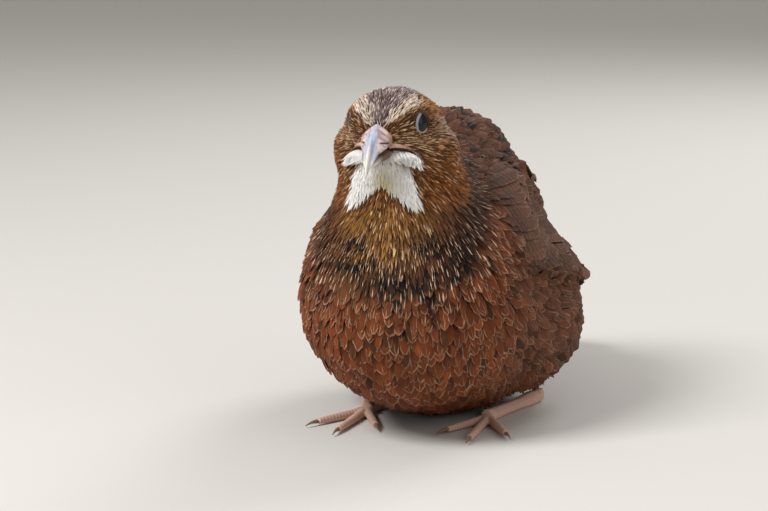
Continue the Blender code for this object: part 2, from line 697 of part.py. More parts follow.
def tail_tier(side, tier):
    """The feathers of one side of one tier of the tail."""
    droop = math.radians(TAIL_DROOP)
    back = np.array([0.0, math.cos(droop), -math.sin(droop)])
    up = np.array([0.0, math.sin(droop), math.cos(droop)])
    out = np.array([1.0, 0.0, 0.0])
    steps = np.linspace(0.0, 1.0, 5)[:, None]
    made = []
    count = tier["count"]
    for number, (root_out, tip_out, start, end) in enumerate(zip(*(knots(tier[key], count) for key in (
            "root_out", "tip_out", "start", "end")))):
        rise = tier["rise"][0] + (tier["rise"][1] - tier["rise"][0]) * steps - tier["drop"] * number
        path = TAIL_ROOT + (root_out + (tip_out - root_out) * steps) * out
        path = path + (start + (end - start) * steps) * back + rise * up
        normals = np.broadcast_to(up, path.shape)
        made.append(vane(path, normals, tier["width"], -tier["tilt"], np.array([side, 1.0, 1.0])))
    return made


def tail():
    made = plumage_node("tail", "plumage_back", np.linspace(TRUNK_END, TAIL_END, TAIL_RINGS), True)
    feathers = []
    for tier in TAIL_TIERS.values():
        for side in (LEFT, RIGHT):
            feathers += tail_tier(side, tier)
    combine(made, feathers, "UNION")


# Feet


def toe_path(side, turn, length):
    """A toe's middle line, from within the ball of the foot to its end."""
    ball_of_foot = np.array([FOOT_OUT, TOE_ROOT, TOE_RADIUS])
    direction = np.array([math.sin(math.radians(turn)), -math.cos(math.radians(turn)), 0.0])
    steps = np.linspace(0.015 + 0.0004 * abs(turn), 1.0, 5)
    path = ball_of_foot + steps[:, None] * length * direction
    return path * np.array([side, 1.0, 1.0])


def foot(side):
    name = side_name(side)
    mirror = np.array([side, 1.0, 1.0])
    heel = np.array([HEEL_OUT, HEEL, TARSUS_RADIUS])
    front = np.array([FOOT_OUT, TOE_ROOT, TARSUS_RADIUS])
    path = heel + np.linspace(-0.06, 1.04, 6)[:, None] * (front - heel)
    radii = np.array(TARSUS_SHAPE) * TARSUS_RADIUS
    made = make_object(f"foot_{name}", tube(path * mirror, radii), "skin_pale")
    heights = (0.6, HEEL_TOP - 0.9, HEEL_TOP)
    ankle = tube([heel * mirror + np.array([0.0, 0.0, height - TARSUS_RADIUS]) for height in heights],
                 (1.7, 1.75, SHANK_RADIUS), 10)
    pieces = [make_object("ankle", ankle, "skin_pale")]
    for number, (turn, length) in enumerate(TOES):
        toe = tube(toe_path(side, turn, length), TOE_RADIUS * np.array(TOE_SHAPE))
        pieces.append(make_object(f"toe_{name}_{number}", toe, "skin_pale"))
    combine(made, pieces, "UNION")
    ground = bmesh.new()
    bmesh.ops.create_cube(ground, size=1.0)
    bmesh.ops.scale(ground, vec=(120.0, 120.0, 10.0), verts=ground.verts)
    bmesh.ops.translate(ground, vec=(0.0, 0.0, -5.0), verts=ground.verts)
    combine(made, [make_object("ground", ground, "skin_pale")], "DIFFERENCE")


def claws(side):
    for number, (turn, length) in enumerate(TOES):
        path = toe_path(side, turn, length)
        direction = path[-1] - path[-2]
        direction /= np.linalg.norm(direction)
        start = path[-1] + GAP * direction
        steps = np.linspace(0.0, 1.0, 5)
        line = start + steps[:, None] * CLAW_LENGTH * direction
        line[:, 2] += CLAW_ARCH * np.sin(math.pi * steps) - CLAW_DROP * steps ** 2
        radii = np.interp(steps, (0.0, 1.0), (CLAW_RADIUS, CLAW_TIP_RADIUS))
        made = tube(line, radii, 6)
        make_object(f"claw_{side_name(side)}_{number + 1}", made, "claw")


def main():
    clear_scene()
    head()
    neck()
    torso()
    tail()
    upper_bill()
    lower_bill()
    for side in (LEFT, RIGHT):
        wing(side)
        leg(side)
        foot(side)
        claws(side)


main()
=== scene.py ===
"""The looks of a resting coturnix quail: skin, feathers, bill, eyes, feet, and the studio round it.

Places and sizes are in millimetres in the bird's own frame, and meshes are made in metres. The bird
faces -Y, its left side is +X and the floor is z = 0. The head's frame has its origin between the eyes
and counts to the bird's left, to the back and up.
"""

import math

import bmesh
import bpy
import numpy as np
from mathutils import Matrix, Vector
from mathutils.bvhtree import BVHTree
from mathutils.kdtree import KDTree
from numpy.linalg import norm


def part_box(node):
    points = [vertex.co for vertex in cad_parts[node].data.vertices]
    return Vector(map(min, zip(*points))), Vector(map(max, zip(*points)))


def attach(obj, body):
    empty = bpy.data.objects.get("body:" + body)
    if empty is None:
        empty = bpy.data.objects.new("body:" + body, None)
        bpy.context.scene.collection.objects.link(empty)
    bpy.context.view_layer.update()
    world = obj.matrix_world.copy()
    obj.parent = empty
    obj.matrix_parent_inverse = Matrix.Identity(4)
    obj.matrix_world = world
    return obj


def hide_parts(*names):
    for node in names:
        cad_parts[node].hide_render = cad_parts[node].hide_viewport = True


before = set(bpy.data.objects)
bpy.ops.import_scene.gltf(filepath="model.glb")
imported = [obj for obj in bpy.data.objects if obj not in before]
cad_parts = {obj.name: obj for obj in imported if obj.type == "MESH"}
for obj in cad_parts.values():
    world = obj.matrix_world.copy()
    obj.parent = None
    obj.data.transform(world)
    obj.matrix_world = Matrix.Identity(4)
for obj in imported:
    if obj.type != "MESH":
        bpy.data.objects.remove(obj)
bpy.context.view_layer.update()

MM = 0.001
LEFT, RIGHT = 1.0, -1.0
SIDE_NAMES = {LEFT: "left", RIGHT: "right"}
UP = np.array([0.0, 0.0, 1.0])
SEED = 7
RANDOM = np.random.default_rng(SEED)

FLESH = ("head", "neck", "torso", "tail", "leg_left", "leg_right")
WINGS = ("wing_left", "wing_right")
BILL_ROOT = (0.0, -9.0, -2.5)  # in the head's frame

# The skin: how it is remeshed, and how deep it lies under the coat at these distances from the bill.
SKIN_VOXEL = 0.9
SKIN_SWELL = 0.3
SKIN_SMOOTHING = 6
TAIL_CUT = 74.0
COAT_DEPTH = ((0, 8, 18, 30, 45, 70, 140), (0.45, 0.55, 0.8, 1.2, 1.7, 2.0, 2.0))
SKIN_FLOOR = 0.9
# Where the head is puffed up: the change in the skin's depth, the spot's middle and its widths.
PUFFS = ((-1.5, (14.0, 4.0, -2.0), (3.5, 6.0, 7.0)),
         (-0.6, (0.0, 2.0, 8.0), (9.0, 8.0, 3.5)),
         (-1.4, (10.5, 7.0, 3.0), (3.5, 4.5, 3.2)))
SHOULDER_SPOT = ((-27.0, 62.0), (7.0, 8.0))  # on the right shoulder, to the left and up
SHOULDER_DRAW = 3.2  # how far the skin is drawn in there
WING_END = ((12.0, 4.0, 16.0), (60.0, 62.0, 50.0))  # where the step behind the wings is evened out
WING_END_ROUNDS = 40

# The middle line of the body: its height at places along the bird.
BODY_LINE = ((-33.0, 0.0, 40.0, 60.0), (48.0, 43.0, 37.0, 32.0))

# Sizes of the feathers at distances from the bill's root.
REACH = (0, 6, 12, 20, 28, 36, 48, 70, 100, 140)
LENGTHS = (1.4, 2.0, 2.7, 3.8, 5.4, 6.6, 7.8, 9.2, 11.0, 12.0)
WIDTHS = (0.22, 0.26, 0.31, 0.42, 1.3, 2.7, 3.9, 4.5, 4.8, 5.0)
SPACINGS = (0.25, 0.27, 0.30, 0.37, 0.75, 1.25, 1.6, 1.85, 2.0, 2.1)
LAPPET_LENGTHS = ((4.5, 8.0, 11.0, 16.0), (2.0, 3.2, 4.4, 5.4))  # by how far they are below the eyes
COAT_FLOOR = 0.35
ROOT_SINK = 0.25
BAKE_START, BAKE_AXIS = (0.0, -50.0, 45.0), (0.0, 1.0, -0.15)
BAKE_PATCH = 0.003
# The dark bands of the breast: where their feathers have their roots, to the left and up, and how far
# they reach either way.
BANDS = ((-6.5, 55, 4.5, 2.0), (-6, 50.5, 6, 2.0), (4.5, 47, 8, 2.3), (9.5, 55, 5.5, 2.5), (16, 52, 2.5, 5),
         (12.5, 48.5, 4, 2.2), (5, 43, 3, 1.8), (12, 43.5, 3.5, 1.7), (5, 36, 2.5, 1.8), (-14, 44, 3, 1.8))
# Patches of either side of the head, as middles and widths outwards, backwards and up.
HEAD_SPOTS = {
    "above_eye": ((10.0, 2.0, 5.4), (3.0, 5.5, 2.2)),
    "behind_eye": ((11.0, 6.0, 4.6), (3.0, 4.0, 2.0)),
    "lore": ((7.0, -7.0, 1.2), (1.9, 2.6, 2.2)),
    "pale_cheek": ((7.6, -5.4, -2.8), (3.2, 3.2, 2.0)),
    "ear": ((11.8, 3.6, -0.6), (3.5, 4.8, 2.4)),
    "stripe": ((12.0, 0.0, -5.0), (3.5, 5.5, 1.8)),
}
OLIVE_MIDDLE = ((0.8, -10.6), (2.5, 2.8))  # the olive patch in the middle of the bib: its middle, to the left and up, and its widths
# The bib's edges: heights of the lobes' top and base and of the lappets' hem at places outwards, and
# the lappets' outer edge at heights.
LOBE_TOP = ((3.0, 4.7, 6.0, 7.2, 8.4, 9.3), (-5.1, -5.1, -5.15, -5.5, -6.5, -8.0))
LOBE_BASE = ((3.3, 5.0, 7.5, 8.6, 9.3), (-7.0, -7.6, -8.0, -8.6, -9.2))
LAPPET_HEM = ((0.0, 2.0, 5.0, 7.0, 9.0), (-11.2, -12.4, -14.8, -16.0, -16.6))
LAPPET_EDGE = ((-17.0, -15.0, -12.7, -9.0, -6.0), (8.3, 7.9, 7.2, 6.6, 6.0))
DROPS = ((51.0, 0.0), (7.0, 24.0))  # the drop-shaped marks of the breast, up and to the left

# Colours, linear.
CHESTNUT = (0.150, 0.040, 0.014)
RUSSET = (0.27, 0.070, 0.016)
BLACK = (0.010, 0.008, 0.008)
BROWN = (0.060, 0.028, 0.017)
MAUVE = (0.145, 0.066, 0.040)
BACK_BROWN = (0.122, 0.049, 0.026)
NECK_BROWN = (0.115, 0.050, 0.022)
OCHRE = (0.31, 0.140, 0.037)
ORANGE = (0.34, 0.115, 0.026)
GOLDEN = (0.66, 0.33, 0.075)
TAN = (0.46, 0.20, 0.075)
SAND = (0.74, 0.48, 0.27)
UMBER = (0.070, 0.026, 0.012)
CREAM = (0.90, 0.76, 0.63)
DROP_PINK = (0.74, 0.52, 0.36)
BUFF = (0.50, 0.31, 0.19)
CROWN_GREY = (0.29, 0.222, 0.230)
EAR_GREY = (0.45, 0.345, 0.305)
WHITE = (0.90, 0.89, 0.86)
OLIVE = (0.56, 0.50, 0.27)


# Shader maths


class Value:
    """A shader socket that can be used in Python arithmetic."""

    def __init__(self, shader, socket):
        self.shader = shader
        self.socket = socket

    def _math(self, operation, *others):
        inputs = dict(enumerate((self, *others)))
        return self.shader.node("ShaderNodeMath", {"operation": operation}, inputs)

    def __add__(self, other):
        return self._math("ADD", other)

    def __sub__(self, other):
        return self._math("SUBTRACT", other)

    def __rsub__(self, other):
        return self * -1.0 + other

    def __mul__(self, other):
        return self._math("MULTIPLY", other)

    def __pow__(self, other):
        return self._math("POWER", other)

    __radd__ = __add__
    __rmul__ = __mul__

    def __abs__(self):
        return self._math("ABSOLUTE")

    def sine(self):
        return self._math("SINE")

    def largest(self, other):
        return self._math("MAXIMUM", other)

    def between(self, low, high):
        """0 below low, 1 above high, and a smooth step from one to the other."""
        return self.shader.node("ShaderNodeMapRange", {"interpolation_type": "SMOOTHSTEP"},
                                {"Value": self, "From Min": low, "From Max": high}, "Result")


class Shader:
    """The nodes of one material."""

    def __init__(self, name, **constants):
        self.material = bpy.data.materials.new(name)
        self.material.use_nodes = True
        self.tree = self.material.node_tree
        self.surface = self.tree.nodes["Principled BSDF"]
        self.finish(**constants)

    def node(self, kind, settings, inputs, output=0):
        """Adds a node, sets it up, fills its inputs and gives back one of its outputs."""
        made = self.tree.nodes.new(kind)
        for key, value in settings.items():
            setattr(made, key, value)
        for key, value in inputs.items():
            self.fill(made.inputs[key], value)
        return Value(self, made.outputs[output])

    def fill(self, socket, value):
        if isinstance(value, Value):
            self.tree.links.new(value.socket, socket)
        elif socket.type == "RGBA" and len(value) == 3:
            socket.default_value = (*value, 1.0)
        else:
            socket.default_value = value

    def mix(self, share, first, second, blend="MIX"):
        """A mix of two colours."""
        settings = {"data_type": "RGBA", "blend_type": blend, "clamp_factor": True}
        return self.node("ShaderNodeMix", settings, {"Factor": share, 6: first, 7: second}, 2)

    def shaded(self, colour, shade):
        """A colour made lighter or darker."""
        grey = self.node("ShaderNodeCombineColor", {}, {0: shade, 1: shade, 2: shade})
        return self.mix(1.0, colour, grey, "MULTIPLY")

    def attribute(self, name, output="Color"):
        return self.node("ShaderNodeAttribute", {"attribute_name": name}, {}, output)

    def parts(self, colour):
        """The red, green and blue of a colour."""
        first = self.node("ShaderNodeSeparateColor", {}, {0: colour})
        return [Value(self, output) for output in first.socket.node.outputs]

    def noise(self, scale, detail):
        place = self.node("ShaderNodeTexCoord", {}, {}, "Object")
        return self.node("ShaderNodeTexNoise", {}, {"Vector": place, "Scale": scale, "Detail": detail})

    def bump(self, height, strength, distance):
        return self.node("ShaderNodeBump", {},
                         {"Height": height, "Strength": strength, "Distance": distance}, "Normal")

    def finish(self, **values):
        """Fills inputs of the surface, named in lower case."""
        for key, value in values.items():
            name = key.replace("_", " ").title().replace("Ior", "IOR")
            self.fill(self.surface.inputs[name], value)
        return self.material


def feather_material():
    """Feathers: a tint, a pale rim, a drop along the shaft, bars, dark bands, fine barbs, and painted shade
    towards each root, where feathers lie under their neighbours.
    """
    shader = Shader("feather", specular_ior_level=0.12)
    tint = shader.attribute("tint")
    rim_mark, streak_mark, bar_mark = shader.parts(shader.attribute("marks"))
    blotch_mark, seed, pale_bars = shader.parts(shader.attribute("more"))
    # The tint's alpha is the share of painted shade towards the feather's root.
    gap_shade_share = shader.attribute("tint", "Alpha")
    length = shader.attribute("more", "Alpha")
    uv = shader.node("ShaderNodeUVMap", {"uv_map": "Feather"}, {})
    u, v, _ = shader.parts(uv)
    across = abs(u * 2.0 - 1.0)
    past = (v - 0.62).largest(0.0) * 2.55
    noise = shader.noise(1100.0, 3.0)
    broken = shader.noise(420.0, 2.0)
    rim = (across * across + past * past) ** 0.5 + noise * 0.34
    rim_mask = rim.between(1.0, 1.14) * rim_mark * broken.between(0.36, 0.56)
    drop = v.between(0.60, 0.88) * (1.0 - v.between(0.92, 1.0)) * streak_mark * 0.36 + 0.02
    streak_mask = (1.0 - (across + noise * 0.1 - 0.05).between(drop * 0.6, drop)) * streak_mark
    streak_mask = streak_mask * v.between(0.5, 0.66) * (1.0 - v.between(0.97, 0.99))
    bars = (v * length * 26.0 + seed * 6.0 + u * 2.0 - across * 3.0 + noise * 7.0).sine()
    dark_bars = bars.between(0.1, 0.6) * bar_mark
    light_bars = (0.0 - bars).between(0.35, 0.75) * pale_bars
    band = v + (noise - 0.5) * 0.35 + (broken - 0.5) * 0.5 - across * 0.08
    blotch = band.between(0.36, 0.56) * (1.0 - band.between(0.76, 0.94))
    barbs = (v * length * 120.0 - across * 45.0 + noise * 5.0).sine()
    colour = shader.mix(dark_bars * 0.8, tint, BLACK)
    colour = shader.mix(light_bars, colour, BUFF)
    colour = shader.mix(blotch * blotch_mark, colour, BLACK)
    colour = shader.mix(streak_mask, colour, DROP_PINK)
    colour = shader.mix(rim_mask, colour, BUFF)
    # Painted shade: each feather darkens towards its root, where it lies under its neighbours. Barbs,
    # random tone and grain also vary the colour.
    painted_root_shade = 1.0 - (1.0 - v.between(0.1, 0.75)) * gap_shade_share
    shade = (barbs * 0.16 + seed * 0.3 + noise * 0.4 + 0.64) * painted_root_shade
    return shader.finish(base_color=shader.shaded(colour, shade), roughness=0.6 + noise * 0.2,
                         normal=shader.bump(barbs * 0.5 + noise, 0.45, 0.00018))


def tinted_material(name, roughness, bump_scale, bump, **constants):
    """A smooth piece coloured by its tint, with a little grain."""
    shader = Shader(name, **constants)
    noise = shader.noise(bump_scale, 4.0)
    colour = shader.shaded(shader.attribute("tint"), noise * 0.5 + 0.75)
    return shader.finish(base_color=colour, roughness=roughness + noise * 0.1,
                         normal=shader.bump(noise, bump, 0.0001))


def skin_material():
    shader = Shader("skin_under_feathers", roughness=0.9)
    tint = shader.attribute("tint")
    noise = shader.noise(700.0, 4.0)
    # The skin shows only through gaps in the coat: painted shade darkens the plumage's tint there towards
    # black, varied by grain.
    colour = shader.mix(0.55 - noise * 0.3, tint, BLACK)
    return shader.finish(base_color=colour, normal=shader.bump(noise, 0.6, 0.0004))


# Small helpers


def smooth(value, low, high):
    """A smooth step of numbers from 0 at low to 1 at high. low may be above high."""
    t = np.clip((value - low) / (high - low), 0.0, 1.0)
    return t * t * (3.0 - 2.0 * t)


def unit(vectors):
    return vectors / np.maximum(norm(vectors, axis=-1, keepdims=True), 1e-9)


def mixed(first, second, share):
    return np.array(first) * (1.0 - share) + np.array(second) * share


def ramp(first, last, share):
    return first + (last - first) * share


def all_of(colour, count):
    return np.tile(np.array(colour), (count, 1))


def layered(tint, *layers):
    """Colours laid over others in turn, each through its mask."""
    for mask, colour in layers:
        tint = tint + mask[:, None] * (np.array(colour) - tint)
    return tint


def middle_of(node):
    low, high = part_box(node)
    return np.array(low + high) / 2.0 / MM


def added(name, data):
    obj = bpy.data.objects.new(name, data)
    bpy.context.scene.collection.objects.link(obj)
    return obj


def place(name, mesh, points, tint, finish, slot, *replaced):
    """Adds a tinted piece of the bird, its points in millimetres and none of them under the floor."""
    points[:, 2] = np.maximum(points[:, 2], 0.0)
    move_points(mesh, points * MM)
    mesh.shade_smooth()
    write_attribute(mesh, "tint", tint)
    add_piece(name, mesh, finish, slot, *replaced)


def add_piece(name, mesh, finish, slot, *replaced):
    mesh.materials.clear()
    mesh.materials.append(finish)
    obj = added(name, mesh)
    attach(obj, "root")
    if replaced:
        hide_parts(*replaced)


def opened(mesh):
    made = bmesh.new()
    made.from_mesh(mesh)
    return made


def closed(made, mesh):
    """Writes a bmesh into a mesh and frees it."""
    made.to_mesh(mesh)
    made.free()
    mesh.update()
    return mesh


def cad_copy(names, swell):
    """Copies of CAD nodes in one bmesh, in millimetres, each swollen so that neighbours overlap."""
    made = bmesh.new()
    for name in names:
        piece = opened(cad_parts[name].data)
        bmesh.ops.remove_doubles(piece, verts=piece.verts, dist=1e-6)
        bmesh.ops.scale(piece, vec=(1.0 / MM,) * 3, verts=piece.verts)
        piece.normal_update()
        for vert in piece.verts:
            vert.co += swell * vert.normal
        mesh = closed(piece, bpy.data.meshes.new("copy"))
        made.from_mesh(mesh)
        bpy.data.meshes.remove(mesh)
    return made


def remeshed(made, voxel, rounds):
    """A bmesh made over into one even, smooth skin."""
    obj = added("remesh", closed(made, bpy.data.meshes.new("remesh")))
    change = obj.modifiers.new("skin", "REMESH")
    change.mode = "VOXEL"
    change.voxel_size = voxel
    change = obj.modifiers.new("soften", "SMOOTH")
    change.factor = 0.5
    change.iterations = rounds
    graph = bpy.context.evaluated_depsgraph_get()
    result = bpy.data.meshes.new_from_object(obj.evaluated_get(graph))
    bpy.data.objects.remove(obj)
    return result


def points_of(mesh, what="co"):
    """The places of a mesh's vertices, or their normals."""
    found = np.empty(len(mesh.vertices) * 3, np.float32)
    mesh.vertices.foreach_get(what, found)
    return found.reshape(-1, 3).astype(float)


def flat(values):
    return values.astype(np.float32).ravel()


def move_points(mesh, points):
    mesh.vertices.foreach_set("co", flat(points))
    mesh.update()


def write_attribute(mesh, name, values):
    layer = mesh.attributes.new(name, "FLOAT_COLOR", "POINT")
    filled = np.ones((len(values), 4), np.float32)
    filled[:, :values.shape[1]] = values
    layer.data.foreach_set("color", filled.ravel())


def loft(count, rows, section):
    """Corners of count tubes of rows of rings: the quads between them, the first rings and the last."""
    index = np.arange(count * rows * section).reshape(count, rows, section)
    beside = np.roll(index, -1, axis=2)
    quads = np.stack([index[:, :-1], beside[:, :-1], beside[:, 1:], index[:, 1:]], axis=-1).reshape(-1, 4)
    return quads, index[:, 0, ::-1], index[:, -1]


# The head's frame


EYES = {side: middle_of(f"eye_{name}") for side, name in SIDE_NAMES.items()}
HEAD_LEFT = unit(EYES[LEFT] - EYES[RIGHT])
HEAD_BACK = np.cross(UP, HEAD_LEFT)
HEAD_AXES = np.stack([HEAD_LEFT, HEAD_BACK, UP])
HEAD_MIDDLE = (EYES[LEFT] + EYES[RIGHT]) / 2.0


def in_head(points):
    return (points - HEAD_MIDDLE) @ HEAD_AXES.T


def from_head(points):
    return np.asarray(points, float) @ HEAD_AXES + HEAD_MIDDLE


def folded(points):
    """Both halves of the head as one: outwards, backwards and up from between the eyes."""
    head = in_head(points)
    return np.abs(head[:, 0]), head[:, 1], head[:, 2]


BILL_START = from_head(BILL_ROOT)

EYE_RADIUS = 4.3
EYE_TURN = 32.0  # how far the eye's axis points forward of straight out
# From the solid's eye to the one that is seen: forward, inward and up.
EYE_SHIFT = {LEFT: (1.9, 0.7, 1.15), RIGHT: (1.2, 0.85, 1.05)}
LID_OPENING = (1.45, 2.15)  # half its length and height
BARE_MIDDLE, BARE_SIZE = (0.22, -0.12), (1.72, 2.3)  # the featherless oval round it, forward and up
FAR = 9.0


def seen_eye(side):
    """The middle of the eye that is seen, its axis, and the direction forward across it."""
    turn = math.radians(EYE_TURN)
    axis = np.array([side * math.cos(turn), -math.sin(turn), 0.0]) @ HEAD_AXES
    forward, inward, rise = EYE_SHIFT[side]
    middle = EYES[side] - forward * HEAD_BACK - inward * axis + rise * UP
    return middle, axis, unit(np.cross(UP, axis) * -side)


SEEN_EYES = {side: seen_eye(side) for side in SIDE_NAMES}


def eye_gap(points):
    """How far out each point is, in sizes of the bare oval, seen along the nearer eye's axis."""
    gaps = []
    for middle, axis, ahead in SEEN_EYES.values():
        out = points - middle
        forward = (out @ ahead - BARE_MIDDLE[0]) / BARE_SIZE[0]
        upward = (out @ UP - BARE_MIDDLE[1]) / BARE_SIZE[1]
        gaps.append(np.where(out @ axis > 0.0, np.hypot(forward, upward), FAR))
    return np.minimum(*gaps)


# Markings, the same for skin and coat


def reach_of(points):
    return norm(points - BILL_START, axis=-1)


def bump_at(values, middle, widths):
    """A soft hill, 1 at the middle."""
    return np.exp(-sum(((value - m) / w) ** 2 for value, m, w in zip(values, middle, widths)))


def white_bib(a, b, c):
    """The white lobes under the gape, and the two lappets below them, with a painted shadow line under the
    lobes.
    """
    base = np.interp(a, *LOBE_BASE)
    below = smooth(np.interp(a, *LOBE_TOP) - c, -0.1, 0.2)
    lobe = below * smooth(c - base, -0.2, 0.1) * smooth(a, 8.8, 8.4) * smooth(b, 3.5, 2.0)
    # Along each lobe's base the white gives way to the darker plumage colour: a painted shadow line under
    # the lobe.
    painted_crease_shade = 0.6 * bump_at((c - base,), (-0.5,), (0.4,)) * smooth(a, 4.0, 5.5)
    main = smooth(np.interp(c, *LAPPET_EDGE) - a, 0.0, 0.4)
    main = main * smooth(c - np.interp(a, *LAPPET_HEM), -0.4, 0.3) * below * (1.0 - painted_crease_shade)
    return lobe, main * smooth(b, 4.0, 2.5) * (1.0 - lobe)


def markings(points, normals):
    """What the plumage looks like at each point, as arrays by name."""
    a, b, c = folded(points)
    reach = reach_of(points)
    x, y, z = points.T
    ahead, wide = -normals[:, 1], np.abs(x)
    wander = (np.sin(x * 0.9 + 1.3) + np.sin(y * 1.1 + z * 0.7) + np.sin(z * 1.3 - x * 0.5)) / 3.0

    # The body: chestnut in front and below, mauve at the sides, brown on the back and wings.
    back = smooth(normals[:, 2], 0.0, 0.6) * smooth(y, -34, -14)
    sides = smooth(np.abs(normals[:, 0]), 0.45, 0.85) * smooth(y, -40, -18) * (1.0 - back)

    # The neck: ochre in front, dark at its sides and behind.
    front = smooth(ahead, -0.15, 0.5) * smooth(wide, 17, 8)
    neck = smooth(reach, 39, 31)
    ochre = smooth(reach, 30, 24) * smooth(ahead, 0.0, 0.6) * smooth(wide, 13, 6)

    # The head: tan and orange cheeks, cream brows, a grey crown and a mottled patch over the ear.
    is_head = smooth(reach, 29, 24) * smooth(c, -19, -14)
    lift = np.degrees(np.arctan2(c + 1.5, a))
    low = is_head * smooth(c, -6, -9)
    crown = is_head * smooth(lift, 50, 60)
    brow = is_head * smooth(lift, 33, 42) * smooth(lift, 68, 54) * smooth(b, 2.0, -3.5)
    above_eye, behind_eye, lore, pale_cheek, ear, stripe = (
        is_head * bump_at((a, b, c), *spot) for spot in HEAD_SPOTS.values())
    line = crown * smooth(a, 1.5, 0.6) * smooth(b, -8, -9.5)

    lobe, lappet = white_bib(a, b, c)
    bib = np.maximum(lobe, lappet)
    olive_middle = lappet * bump_at((in_head(points)[:, 0], c), *OLIVE_MIDDLE)

    plain = 1.0 - bib
    body = smooth(reach, 31, 38)
    breast = body * (1.0 - back) * (1.0 - sides * 0.6)
    drops = bump_at((z, x), *DROPS) * smooth(y, -20, -36)
    bands = np.max([1.2 * bump_at((x, z), band[:2], band[2:]) for band in BANDS], axis=0)
    patches = np.sin(x * 0.55 + y * 0.2) + np.sin(y * 0.62 - x * 0.31 + 1.0)
    upper = 0.40 * is_head * (1.0 - low) * (1.0 - brow) * (1.0 - 0.6 * ear)
    upper = upper * (1.0 - 0.8 * crown) * (1.0 - 0.6 * above_eye)
    cream = 0.09 * is_head + 0.55 * brow + 0.25 * ear + 0.07 * ochre + 0.4 * pale_cheek
    return {
        "tint": layered(
            all_of(CHESTNUT, len(points)), (smooth(wander, 0.0, 0.6) * 0.4, RUSSET), (sides * 0.75, MAUVE),
            (back, BACK_BROWN), (neck * (1.0 - front), BROWN), (neck * front, NECK_BROWN), (ochre, OCHRE),
            (is_head, TAN), (low, ORANGE), (crown, CROWN_GREY), (above_eye, GOLDEN),
            (behind_eye, ORANGE), (lore * 0.55, BROWN), (pale_cheek * 0.75, SAND), (ear, EAR_GREY),
            (line, BROWN), (bib, WHITE), (olive_middle, OLIVE)),
        "pale": layered(all_of(SAND, len(points)), (np.maximum(brow, crown), CREAM)),
        # The share of painted shade towards each feather's root, less on the white bib.
        "gap_shade_share": 0.62 - 0.47 * bib,
        "lobe": lobe,
        "lappet": lappet,
        "bib": bib,
        "pale_bars": 0.0 * bib,
        "rim": plain * (0.46 * breast + 0.09 * body) * smooth(z, 3.0, 20.0),
        "streak": plain * np.clip(0.22 * body + drops + 0.7 * neck * (1.0 - front) * (1 - is_head), 0, 1),
        "bars": plain * (0.5 * is_head * (1.0 - crown) * (1.0 - brow) + 0.3 * back + 0.2 * sides),
        "blotch": plain * (bands * smooth(y, -16, -32) + back * smooth(patches, 0.3, 1.1)),
        "dark": plain * (upper + 0.26 * low + 0.24 * brow + 0.36 * ochre + 0.12 * body + 0.3 * stripe),
        "cream": plain * smooth(eye_gap(points), 1.2, 1.8) * cream,
    }


# Skin


def coat_depth(points):
    return np.interp(reach_of(points), *COAT_DEPTH)


def skin_depth(points):
    """How far the skin lies under the solids: deeper at the eyes, less at the puffed cheeks and crown."""
    head = folded(points)
    depth = coat_depth(points)
    for rise, middle, widths in PUFFS:
        depth += rise * bump_at(head, middle, widths)
    depth += SHOULDER_DRAW * bump_at((points[:, 0], points[:, 2]), *SHOULDER_SPOT)
    for middle, axis, _ in SEEN_EYES.values():
        gap = norm(points - middle - EYE_RADIUS * axis, axis=1)
        depth += 0.35 * np.exp(-(gap / 2.6) ** 4)
    return depth


def soften(made, verts, rounds):
    for _ in range(rounds):
        bmesh.ops.smooth_vert(made, verts=verts, factor=0.5,
                              use_axis_x=True, use_axis_y=True, use_axis_z=True)


def make_skin():
    """The skin under the coat, sunk in from the solids' surface by the coat's depth."""
    body = cad_copy((*FLESH, *WINGS, "eye_left", "eye_right"), SKIN_SWELL)
    hide = remeshed(body, SKIN_VOXEL, SKIN_SMOOTHING)
    made = opened(hide)
    geometry = made.verts[:] + made.edges[:] + made.faces[:]
    cut = bmesh.ops.bisect_plane(made, geom=geometry, plane_co=(0.0, TAIL_CUT, 24.0),
                                 plane_no=(0.0, 0.9, -0.44), clear_outer=True)
    edges = [item for item in cut["geom_cut"] if isinstance(item, bmesh.types.BMEdge)]
    bmesh.ops.holes_fill(made, edges=edges, sides=0)
    bmesh.ops.triangulate(made, faces=[face for face in made.faces if len(face.verts) > 4])
    closed(made, hide)
    points = points_of(hide)
    points -= (skin_depth(points) + SKIN_SWELL)[:, None] * points_of(hide, "normal")
    points[:, 2] = np.maximum(points[:, 2], SKIN_FLOOR)
    move_points(hide, points)
    made = opened(hide)
    soften(made, made.verts, 3)
    low, high = WING_END
    ends = [vert for vert in made.verts if all(
        start < value < end for start, value, end in zip(low, (abs(vert.co.x), *vert.co.yz), high))]
    soften(made, ends, WING_END_ROUNDS)
    return closed(made, hide)


